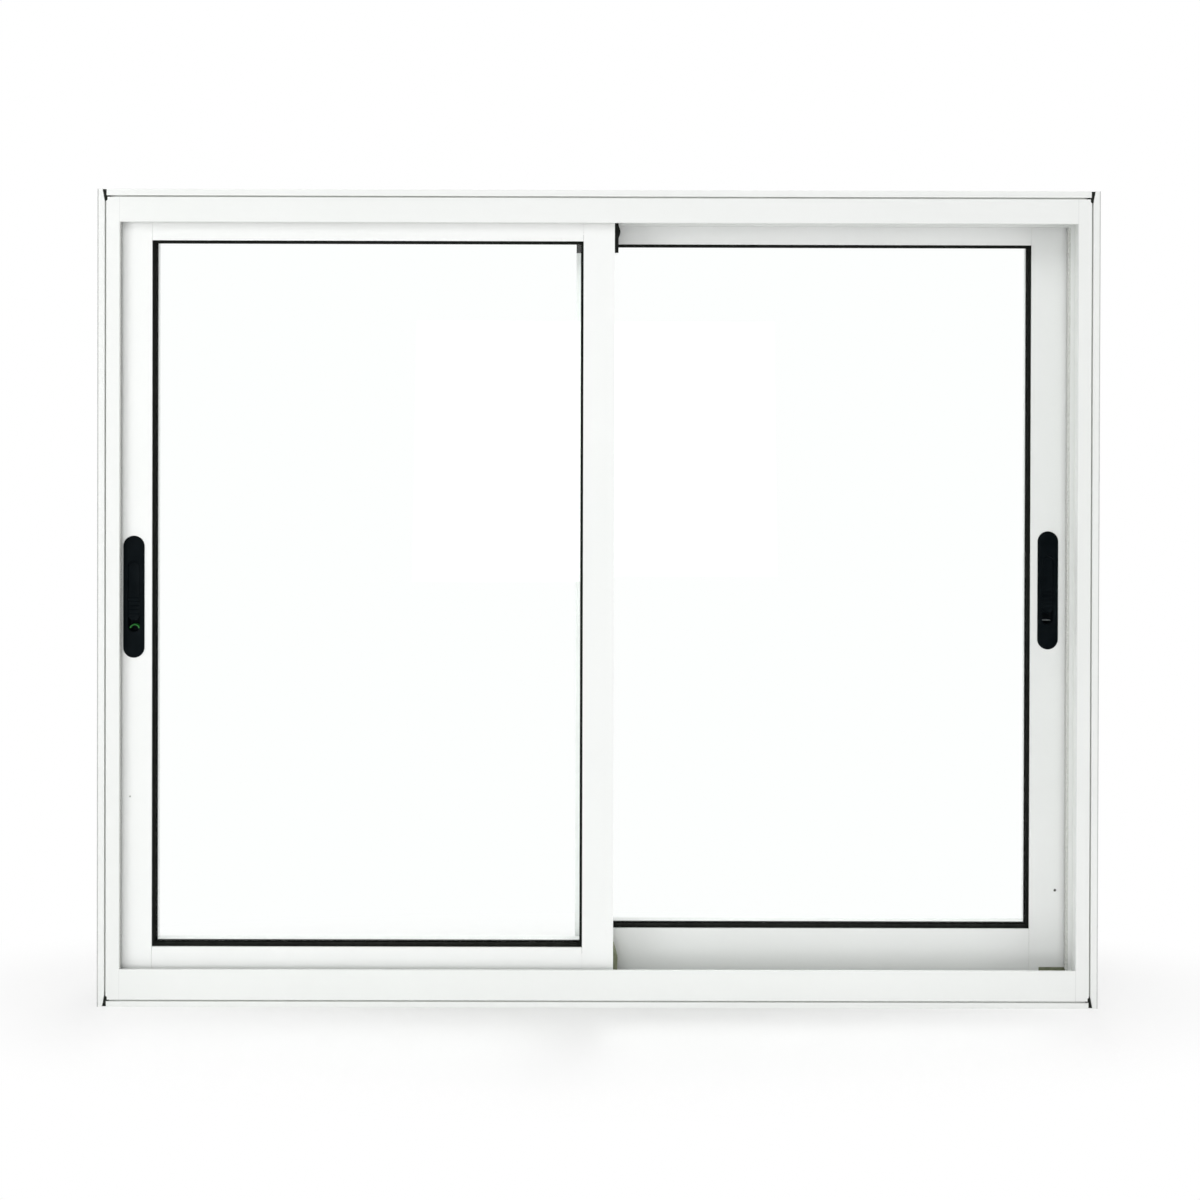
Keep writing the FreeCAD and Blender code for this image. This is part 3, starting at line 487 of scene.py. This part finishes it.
pile = pile_painted_pale("pale_painted_brush_pile")
tape_thickness = 0.0008
tuft_pitch = 0.0015
tuft_half = 0.00045
tuft_half_aside = tuft_half * 1.5
tuft_rows = 3
tuft_end_margin, tuft_side_margin = 0.001, 0.0001
root_scatter, tip_scatter_along, tip_scatter_aside = 0.0003, 0.0004, 0.0003
longest_shortfall = 0.0006
rng = np.random.default_rng(4)


def box_part(low, high):
    """The six faces between two corners."""
    x, y, z = np.meshgrid([low[0], high[0]], [low[1], high[1]], [low[2], high[2]], indexing="ij")
    points = np.stack([x, y, z], axis=-1).reshape(-1, 3)
    faces = [[0, 1, 3, 2], [4, 6, 7, 5], [0, 4, 5, 1], [2, 3, 7, 6], [0, 2, 6, 4], [1, 5, 7, 3]]
    return points, faces


def brush_strip(low, high, run, pile_up):
    """Tape at one end of Y, and spikes whose tips are their roots moved along Y and a little aside.

    The strip runs along X (0) or Z (2), and the other of the two is its side.
    """
    low, high = np.array(low), np.array(high)
    side = 2 - run
    tape_low, tape_high = low.copy(), high.copy()
    root, tip = (low[1] + tape_thickness, high[1]) if pile_up else (high[1] - tape_thickness, low[1])
    (tape_high if pile_up else tape_low)[1] = root
    count = int((high[run] - low[run]) / tuft_pitch)
    along, row = np.meshgrid(np.linspace(low[run] + tuft_end_margin, high[run] - tuft_end_margin, count),
                             np.arange(tuft_rows))
    width = high[side] - low[side]
    base = np.zeros((along.size, 3))
    base[:, run] = along.ravel() + rng.uniform(-root_scatter, root_scatter, along.size)
    base[:, side] = low[side] + width * (row.ravel() + 0.5) / tuft_rows
    base[:, 1] = root
    tips = base.copy()
    tips[:, 1] = tip + rng.uniform(0.0, longest_shortfall, along.size) * (-1 if pile_up else 1)
    tips[:, run] = np.clip(tips[:, run] + rng.normal(0, tip_scatter_along, along.size),
                           low[run], high[run])
    tips[:, side] = np.clip(tips[:, side] + rng.normal(0, tip_scatter_aside, along.size),
                            low[side] + tuft_side_margin, high[side] - tuft_side_margin)
    square = np.zeros((4, 3))
    square[:, run] = np.array([-1, 1, 1, -1]) * tuft_half
    square[:, side] = np.array([-1, -1, 1, 1]) * tuft_half_aside
    points = np.concatenate([base[:, None] + square, tips[:, None]], axis=1)
    spike = np.array([[0, 1, 4], [1, 2, 4], [2, 3, 4], [3, 0, 4]])
    if (run == 0) == pile_up:
        spike = spike[:, ::-1]
    faces = (np.arange(len(base))[:, None, None] * 5 + spike).reshape(-1, 3).tolist()
    return [box_part(tape_low, tape_high), (points.reshape(-1, 3), faces)]


def solid_boxes(node):
    """Corners of the one or two strips in a seal node: one before Y = 0 and one behind it."""
    places = vertex_places(nodes[node].data)
    front = places[:, 1] < 0
    groups = [places[front], places[~front]]
    return [(group.min(0), group.max(0)) for group in groups if len(group)]


for node, run in (("left_jamb_seal", 2), ("right_jamb_seal", 2), ("head_seals", 0), ("sill_seals", 0)):
    parts = []
    for low, high in solid_boxes(node):
        parts += brush_strip(low, high, run, pile_up=low[1] < 0)
    make_piece(node + "_pile", stack(parts), pile, "frame", [node])

# These strips' pale pile covers the shade in the gap between each jamb's middle leg and the lock stile:
# painted light
# From the middle of the frame, in metres: the strip's edges along X, and its tape and tips in Y
leg_strip_x = (0.5800, 0.5846)
leg_strip_y = (0.00075, 0.00825)
leg_strip_foot = 0.020
seal_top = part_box("right_jamb_seal")[1][2]
for side, label in ((-1, "left"), (1, "right")):
    x_low, x_high = sorted(side * x for x in leg_strip_x)
    y_low, y_high = sorted(side * y for y in leg_strip_y)
    strip = brush_strip((x_low, y_low, leg_strip_foot), (x_high, y_high, seal_top), 2, pile_up=side > 0)
    make_piece(label + "_leg_pile", stack(strip), pile, "frame", [])

# %% [markdown]
# ## Caps on the room-side interlock
# The hooked strip of the room-side meeting stile ends in a moulded cap at the top and another
# at the bottom, which keep draughts out where the strips stop. They peep out past the stile:
# the black upper one has a small bulge and the olive lower one rises to a point. Level by
# level a cap is a rounded box whose one side moves out and in, so each is a sheet of such
# rings, with the side's reach as a curve over height.

# %% Caps on the room-side interlock
cap_steps, cap_corner_power = 28, 0.3


def cap_part(levels, reach, inner, y_low, y_high):
    """Soft squares from x = inner to x = reach(z), one for each level."""
    across, deep = soft_square(cap_steps, cap_corner_power)
    half = (reach[:, None] - inner) / 2
    x = inner + half + half * across
    y = np.broadcast_to((y_low + y_high) / 2 + (y_high - y_low) / 2 * deep, x.shape)
    points = np.stack([x, y, np.broadcast_to(levels[:, None], x.shape)], axis=-1).reshape(-1, 3)
    faces = sheet_faces(len(levels), cap_steps, join_columns=True)
    return points, faces + end_faces(len(levels), cap_steps)


cap_inner, cap_plain_reach = 0.009, 0.0238
bulge_level, bulge_half, bulge_rise = 0.9335, 0.0085, 0.0022
shoulder_level, shoulder_reach = 0.0383, 0.0249
point_level, point_reach = 0.0538, 0.0204
foot_draft, point_draft = 0.0006, 0.002
cap_low, cap_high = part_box("front_interlock_caps")
upper_levels = np.linspace(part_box("front_interlock")[1][2], cap_high[2], 60)
from_bulge = np.clip(np.abs(upper_levels - bulge_level) / bulge_half, 0, 1)
upper_reach = cap_plain_reach + bulge_rise * np.cos(from_bulge * np.pi / 2) ** 1.5
lower_levels = np.linspace(cap_low[2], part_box("front_interlock")[0][2], 40)
lower_places = [cap_low[2], shoulder_level, point_level, lower_levels[-1]]
lower_sides = [shoulder_reach - foot_draft, shoulder_reach, point_reach, point_reach - point_draft]
lower_reach = np.interp(lower_levels, lower_places, lower_sides)
caps = [cap_part(upper_levels, upper_reach, cap_inner, cap_low[1], cap_high[1]),
        cap_part(lower_levels, lower_reach, cap_inner, cap_low[1], cap_high[1])]
front_caps = make_piece("front_interlock_moulded_caps", stack(caps), cap_black, "front_sash",
                        ["front_interlock_caps"])
front_caps.data.materials.append(foot_olive)
face_levels = np.empty(len(front_caps.data.polygons) * 3)
front_caps.data.polygons.foreach_get("center", face_levels)
lower_faces = (face_levels.reshape(-1, 3)[:, 2] < frame_middle).astype(np.int32)
front_caps.data.polygons.foreach_set("material_index", lower_faces)
print(int(lower_faces.sum()), "faces of the lower cap are olive")

# %% [markdown]
# ## Flush latches
# The latch is one moulding: a long round-ended bezel, flat in front with a soft edge, and a
# deep finger well in its middle. Seen along its axis every level of it is the same shape, a
# straight slot with half-round ends, so the whole body is a stack of such rings, each given by
# half of its straight length, its end radius and its depth behind the front. The hook is a
# flat plate that reaches to the edge of the stile.

# %% Flush latches
latch_height = 0.490
ring_steps = 96
# Each row is half the straight length, end radius and depth from the front, in millimetres
latch_rings = np.array([
    [59.1, 9.4, 15.0], [59.1, 9.4, 1.0], [60.75, 12.75, 1.0], [60.75, 12.75, 0.5],
    [60.75, 12.62, 0.24], [60.75, 12.35, 0.07], [60.75, 11.95, 0.0], [60.75, 11.2, 0.0],
    [60.75, 11.0, 0.14], [60.75, 10.8, 0.14], [60.75, 10.6, 0.0], [58.0, 10.2, 0.0],
    [37.0, 8.3, 0.0], [35.9, 7.75, 0.06], [35.5, 7.4, 0.28], [35.3, 7.2, 0.7],
    [35.3, 7.2, 7.8], [35.3, 6.9, 8.55], [35.3, 6.2, 9.0], [35.3, 3.0, 9.0],
]) / 1000


def slot_ring(half_straight, radius, steps):
    """(x, z) round a slot: a circle whose upper half is moved up and lower half down."""
    angle = (np.arange(steps) + 0.5) * 2 * np.pi / steps
    lift = np.where(np.sin(angle) > 0, 1.0, -1.0)
    x = radius[:, None] * np.cos(angle)
    z = radius[:, None] * np.sin(angle) + half_straight[:, None] * lift
    return x, z


def latch_body(centre_x, front):
    """The rings as rows of a sheet, with flat ends, at depth behind the front."""
    half_straight, radius, depth = latch_rings.T
    x, z = slot_ring(half_straight, radius, ring_steps)
    y = np.broadcast_to(front + depth[:, None], x.shape)
    points = np.stack([centre_x + x, y, latch_height + z], axis=-1).reshape(-1, 3)
    faces = sheet_faces(len(latch_rings), ring_steps, join_columns=True)
    return points, faces + end_faces(len(latch_rings), ring_steps, swapped=True)


def plate(outline, y_low, y_high):
    """A flat plate: its outline in (x, z) at two depths, joined round the edge."""
    count = len(outline)
    flat = np.array(outline)
    x, z = np.tile(flat[:, 0], 2), np.tile(flat[:, 1], 2)
    points = np.stack([x, np.repeat([y_low, y_high], count), z], axis=-1)
    return points, sheet_faces(2, count, join_columns=True) + end_faces(2, count)


# Millimetres from the latch's middle towards the jamb, and up
hook_outline = np.array([[8.6, -9.0], [21.4, -9.0], [22.9, -7.5], [22.9, 0.0], [20.9, 0.0], [20.9, -5.0],
                         [16.9, -5.0], [16.9, 7.5], [15.4, 9.0], [8.6, 9.0]]) / 1000
hook_half_thickness = 0.0015
latch_case_depth = 0.014
bezel_thickness = 0.001
for sash, towards_jamb in (("front", -1), ("rear", 1)):
    low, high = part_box(sash + "_latch_slider")
    centre_x = (low[0] + high[0]) / 2
    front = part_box(sash + "_latch_body")[0][1]
    hook_y = front + bezel_thickness + latch_case_depth
    hook_places = [(centre_x + towards_jamb * s, latch_height + z) for s, z in hook_outline]
    hook = plate(hook_places[::towards_jamb], hook_y - hook_half_thickness, hook_y + hook_half_thickness)
    make_piece(sash + "_latch_moulding", stack([latch_body(centre_x, front), hook]), latch_black,
               sash + "_sash", [sash + "_latch_body"])

# %% [markdown]
# ## Thumb pieces
# The thumb piece slides in the well. Across its width it is gently hollowed for the finger,
# near its lower end it has five grip grooves, and its lower lip stands up a little. A height
# sheet says all this: one parameter goes across the piece and one along it, and the outline
# narrows to a point at both round ends, where the columns meet. Its lowest stretch is only a
# thin shell, so that it can pass over the mark in the well.

# %% Thumb pieces
grip_count, grip_pitch, grip_half, grip_depth = 5, 0.005, 0.0011, 0.0009
groove_fade_from, groove_fade = 0.7, 0.9
finger_hollow, set_back = 0.0007, 0.0006
edge_from, edge_depth = 0.86, 0.0006
lip_level, lip_spread, lip_rise = 0.0016, 0.0012, 0.0005
shell_length, shell_depth = 0.0050, 0.0021
# The moulded piece is narrower than the solid by this on each side
side_room = 0.0006


def thumb_piece(low, high):
    """Depth = hollow * (1 - u^2) + a parabolic groove per grip; half width = slot outline at z.

    The columns go round the section: up one side, across the top and down the other side.
    """
    half_width, length = (high[0] - low[0]) / 2, high[2] - low[2]
    turn = np.linspace(0, np.pi, 25)
    ends = half_width * (1 - np.cos(turn / 2))
    z = np.concatenate([ends, np.linspace(half_width, length - half_width, 121)[1:-1], length - ends[::-1]])
    from_end = np.clip(np.minimum(z, length - z), 0, half_width)
    outline = np.sqrt(half_width ** 2 - (half_width - from_end) ** 2)
    u = np.sin(np.linspace(-np.pi / 2, np.pi / 2, 33))
    edge = edge_depth * np.clip((np.abs(u) - edge_from) / (1 - edge_from), 0, 1) ** 2
    hollow = finger_hollow * (1 - u ** 2)
    phase = (z - half_width) / grip_pitch
    near = np.abs(phase - np.clip(np.round(phase), 0, grip_count - 1)) * grip_pitch
    groove = grip_depth * np.clip(1 - (near / grip_half) ** 2, 0, 1)
    lip = lip_rise * np.exp(-((z - lip_level) / lip_spread) ** 2)
    fade = 1 - groove_fade * np.clip((np.abs(u) - groove_fade_from) / (1 - groove_fade_from), 0, 1)
    top = low[1] + set_back + hollow + edge + (groove[:, None] * fade) - lip[:, None]
    x = np.concatenate([[-1.0], u, [1.0]]) * outline[:, None]
    back = np.where(z < shell_length, low[1] + shell_depth, high[1])[:, None]
    y = np.concatenate([back, top, back], axis=1)
    levels = np.broadcast_to(low[2] + z[:, None], x.shape)
    points = np.stack([(low[0] + high[0]) / 2 + x, y, levels], axis=-1)
    return points.reshape(-1, 3), sheet_faces(len(z), len(u) + 2, join_columns=True)


def closed_ends(piece):
    """Merge the points that fall together where a sheet narrows to nothing."""
    mesh = piece.data
    work = bmesh.new()
    work.from_mesh(mesh)
    bmesh.ops.remove_doubles(work, verts=work.verts, dist=1e-6)
    bmesh.ops.dissolve_degenerate(work, edges=work.edges, dist=1e-7)
    work.to_mesh(mesh)
    work.free()


for sash in ("front", "rear"):
    low, high = (np.array(corner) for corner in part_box(sash + "_latch_slider"))
    low[0] += side_room
    high[0] -= side_room
    thumb = make_piece(sash + "_thumb_piece", thumb_piece(low, high), latch_black,
                       sash + "_latch", [sash + "_latch_slider"])
    closed_ends(thumb)

# %% [markdown]
# ## Marks in the finger wells
# Under the room-side thumb piece a small green arch stands in the well, which tells at a glance
# how the latch is set. Under the other one a thin pale bar is a painted highlight, for the light
# that the thumb piece's lower lip catches. Both are bars on the floor of the well: a section
# carried along half an ellipse makes the arch, and the same section along an ellipse with almost
# no height makes the straight bar.

# %% Marks in the finger wells
def enamel(name, dark, light):
    """Glossy colour, a little uneven: print on the green arch, and a painted highlight on the pale bar."""
    material, tree = start_finish(name)
    colour = blend_colours(tree, noise(tree, 600.0), dark, light)
    paint = add(tree, "BsdfPrincipled", {"Base Color": colour, "Roughness": 0.3,
                                         "Normal": relief(tree, noise(tree, 2000.0), 0.00002)})
    close_finish(tree, paint.outputs[0])
    return material


mark_steps, mark_ring_steps, mark_corner_power = 41, 16, 0.35


def well_mark(centre_x, centre_z, y_low, y_high, half_width, rise, thin, thick):
    """Bar along x = half width * cos(a), z = rise * sin(a), from a = pi to 0.

    Its section is a rounded box in (outward, y), thin at the top and thick at both feet.
    """
    angle = np.linspace(np.pi, 0, mark_steps)[:, None]
    outward, deep = soft_square(mark_ring_steps, mark_corner_power)
    half = (thin + (thick - thin) * np.cos(angle) ** 4) / 2
    offset = half * outward
    x = centre_x + (half_width + offset) * np.cos(angle)
    z = centre_z + (rise + offset) * np.sin(angle)
    y = np.broadcast_to((y_low + y_high) / 2 + (y_high - y_low) / 2 * deep, x.shape)
    points = np.stack([x, y, z], axis=-1).reshape(-1, 3)
    faces = sheet_faces(mark_steps, mark_ring_steps, join_columns=True)
    return points, faces + end_faces(mark_steps, mark_ring_steps)


green_enamel = enamel("green_enamel", (0.012, 0.16, 0.02, 1), (0.03, 0.30, 0.045, 1))
# The rear mark's pale colour is a painted highlight
painted_highlight_enamel = enamel("painted_highlight_enamel", (0.22, 0.25, 0.25, 1), (0.36, 0.39, 0.39, 1))
well_depth = 0.0088
# Half width, rise, thickness at the top and at the feet, then how deep the front stands in the well
mark_sizes = {"front": ("green_arch", 0.0052, 0.0040, 0.0011, 0.0021, 0.0029, green_enamel),
              "rear": ("painted_highlight_line", 0.0052, 0.0002, 0.0006, 0.0006, 0.0045, painted_highlight_enamel)}
mark_below_thumb = 0.0094
for sash, (label, half_width, rise, thin, thick, depth, finish) in mark_sizes.items():
    low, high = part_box(sash + "_latch_slider")
    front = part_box(sash + "_latch_body")[0][1]
    mark = well_mark((low[0] + high[0]) / 2, low[2] - mark_below_thumb, front + depth, front + well_depth,
                     half_width, rise, thin, thick)
    make_piece(f"{sash}_{label}", mark, finish, sash + "_sash", [])

# %% [markdown]
# ## Pan-head screws
# Eight screws hold the frame's corners, and their heads show from the sides. A head is a dome
# turned round its axis, with a cross pressed into it: the dome's height is a function of the
# radius, and the cross takes away depth wherever a point lies in one of two crossed bars.

# %% Pan-head screws
head_radius, head_height, rim_share = 0.0028, 0.0016, 0.35
cross_bar, cross_reach, cross_depth, cross_edge = 0.13, 0.58, 0.6, 1.6
shank_radius, shank_length = 0.0017, 0.016
head_steps = 64
head_rings = np.array([0.001, 0.06, 0.12, 0.18, 0.26, 0.34, 0.42, 0.5, 0.58, 0.68, 0.78, 0.88, 0.95, 1.0])


def pan_head(seat, outward):
    """Height = h * (0.35 + 0.65 * sqrt(1 - r^4)), less the depth of a cross of two bars.

    Here r, the bars' half width and their reach are shares of the head's radius.
    """
    angle = np.arange(head_steps) * 2 * np.pi / head_steps
    r = head_rings[:, None]
    a, b = r * np.cos(angle), r * np.sin(angle)
    dome = rim_share + (1 - rim_share) * np.sqrt(np.clip(1 - r ** 4, 0, 1))
    from_bar = np.minimum(np.abs(a), np.abs(b)) / cross_bar
    in_cross = np.clip(cross_edge - from_bar, 0, 1) * (r < cross_reach)
    lift = head_height * (dome - cross_depth * in_cross)
    to_shank = np.array([head_radius, shank_radius, shank_radius])[:, None]
    rows_a = np.concatenate([head_radius * a, a[-1:] * to_shank])
    rows_b = np.concatenate([head_radius * b, b[-1:] * to_shank])
    rows_lift = np.concatenate([lift, np.zeros((2, head_steps)), np.full((1, head_steps), -shank_length)])
    points = np.stack([seat[0] + outward * rows_lift, seat[1] + rows_a, seat[2] + rows_b], axis=-1)
    faces = sheet_faces(len(rows_a), head_steps, join_columns=True)
    faces += end_faces(len(rows_a), head_steps, swapped=True)
    if outward < 0:
        faces = [face[::-1] for face in faces]
    return points.reshape(-1, 3), faces


web_x = 0.5895
screw_depths = (-0.02275, 0.02275)
screw_levels = (0.0060, 0.9730)
screws = [pan_head((side * web_x, y, z), side)
          for side in (-1, 1) for y in screw_depths for z in screw_levels]
make_piece("frame_pan_heads", stack(screws), stamped_steel, "frame", ["frame_screws"])

# %% [markdown]
# ## Floor
# The window stands on a pale floor before plain white. The floor is a round sheet that holds
# the window's soft shadow and fades to the white of the background further out, so no edge of
# it shows. The fade is only for the eye: the floor still throws its light up under the sill,
# as a studio's paper sweep does.

# %% Floor
floor_radius, floor_rings, floor_steps = 6.0, 24, 64
fade_from, fade_to = 0.03, 0.40
oval_along, oval_behind, oval_before = 0.42, 2.2, 1.6


def floor_sheet(radius, rings, steps):
    """Points at radius * (i / rings)^1.5 round a circle, so the rings are closer in the middle."""
    reach = radius * (np.arange(1, rings + 1) / rings) ** 1.5
    angle = np.arange(steps) * 2 * np.pi / steps
    x, y = reach[:, None] * np.cos(angle), reach[:, None] * np.sin(angle)
    points = np.stack([x, y, np.zeros_like(x)], axis=-1).reshape(-1, 3)
    return points, sheet_faces(rings, steps, join_columns=True) + [list(range(steps))]


def seen_directly(tree):
    """One for light that goes to the camera, also by way of glass or a glossy surface."""
    path = add(tree, "LightPath").outputs
    mirrored = measure(tree, "MAXIMUM", path["Is Glossy Ray"], path["Is Transmission Ray"])
    return measure(tree, "MAXIMUM", path["Is Camera Ray"], mirrored)


def floor_finish(name):
    """Matt pale floor that the eye sees turn to plain white from fade_from to fade_to.

    Distance is measured in an oval: less along the window, and more behind it than before it.
    """
    material, tree = start_finish(name)
    place = add(tree, "SeparateXYZ", {0: add(tree, "TexCoord").outputs["Object"]}).outputs
    behind = measure(tree, "MAXIMUM", measure(tree, "MULTIPLY", place["Y"], oval_behind), 0.0)
    before = measure(tree, "MULTIPLY", measure(tree, "MINIMUM", place["Y"], 0.0), oval_before)
    oval = add(tree, "CombineXYZ", {0: measure(tree, "MULTIPLY", place["X"], oval_along),
                                    1: measure(tree, "ADD", behind, before)})
    far = add(tree, "VectorMath", {0: oval.outputs[0]}, operation="LENGTH").outputs["Value"]
    fade = add(tree, "MapRange", {"Value": far, "From Min": fade_from, "From Max": fade_to},
               interpolation_type="SMOOTHSTEP").outputs["Result"]
    colour = blend_colours(tree, noise(tree, 3.0), (0.925, 0.925, 0.92, 1), (0.94, 0.94, 0.935, 1))
    matt = add(tree, "BsdfDiffuse", {"Color": colour})
    white = add(tree, "Emission", {"Color": (1, 1, 1, 1), "Strength": 1.0})
    amount = measure(tree, "MULTIPLY", seen_directly(tree), fade)
    both = add(tree, "MixShader", {0: amount, 1: matt.outputs[0], 2: white.outputs[0]})
    close_finish(tree, both.outputs[0])
    return material


points, faces = floor_sheet(floor_radius, floor_rings, floor_steps)
floor_mesh = bpy.data.meshes.new("pale_floor")
floor_mesh.from_pydata(points.tolist(), [], faces)
floor_mesh.materials.append(floor_finish("pale_floor_finish"))
floor = bpy.data.objects.new("pale_floor", floor_mesh)
bpy.context.scene.collection.objects.link(floor)
print("floor with", len(faces), "faces")

# %% [markdown]
# ## Light
# The photograph has almost no shadows: soft light comes from all round. The world looks white
# to the camera and in glass and metal, but lights the window at a lower, plain level. Five
# large square lamps add the direction. The left one is stronger than the right one, the high
# one makes the head a little brighter than the sill, the low one reaches the faces that look
# down, and the back one lights the side that looks out.

# %% World and lamps
world_light = 0.4
world = bpy.data.worlds.new("soft_studio")
bpy.context.scene.world = world
world.use_nodes = True
sky = world.node_tree
sky.nodes.clear()
dim = add(sky, "Background", {"Color": (1, 1, 1, 1), "Strength": world_light})
bright = add(sky, "Background", {"Color": (1, 1, 1, 1), "Strength": 1.0})
choice = add(sky, "MixShader", {0: seen_directly(sky), 1: dim.outputs[0], 2: bright.outputs[0]})
sky.links.new(choice.outputs[0], add(sky, "OutputWorld").inputs["Surface"])


def soft_lamp(name, place, target, size, power):
    """Square area lamp at place, turned to target."""
    lamp = bpy.data.lights.new(name, "AREA")
    lamp.size = size
    lamp.energy = power
    holder = bpy.data.objects.new(name, lamp)
    bpy.context.scene.collection.objects.link(holder)
    holder.location = place
    aim = np.array(target) - np.array(place)
    holder.rotation_mode = "QUATERNION"
    holder.rotation_quaternion = Vector(aim).to_track_quat("-Z", "Y")


lamp_target = (0, 0, 0.5)
# Each lamp is its place and size in metres and its power in watts
lamps = {"left_lamp": ((-2.5, -2.0, 0.75), 1.4, 25.0), "right_lamp": ((2.3, -1.6, 0.5), 1.4, 11.0),
         "high_lamp": ((-0.8, -3.2, 3.6), 2.0, 44.0), "low_lamp": ((0, -2.4, 0.25), 1.2, 8.0),
         "back_lamp": ((0.6, 2.6, 3.2), 1.6, 34.0)}
for name, (place, size, power) in lamps.items():
    soft_lamp(name, place, lamp_target, size, power)
print("world light", world_light, "and", len(lamps), "lamps")

# %% [markdown]
# ## Camera
# The photograph was taken from close by, with the camera near the height of the window's
# upper part and almost level, and the upper part of a taller view was cut away. So the camera
# here looks nearly straight ahead, with the same slight tilt, lean and turn, and its view is
# shifted down to where the window is. The numbers come from a fit to the window's edges.

# %% Camera
eye = (-0.0027, -1.42305, 0.8096)
tilt_down, lean, turn_right = np.radians((0.2075, -0.1465, 0.0574))
camera_data = bpy.data.cameras.new("photo_camera")
camera_data.sensor_width = 36.0
camera_data.lens = 34.534
camera_data.shift_x = 0.0017
camera_data.shift_y = -0.21939
camera = bpy.data.objects.new("photo_camera", camera_data)
bpy.context.scene.collection.objects.link(camera)
camera.location = eye
camera.rotation_euler = (np.pi / 2 - tilt_down, lean, -turn_right)
bpy.context.scene.camera = camera
bpy.context.scene.view_settings.view_transform = "Standard"
print("camera at", eye, "with a lens of", camera_data.lens, "mm")
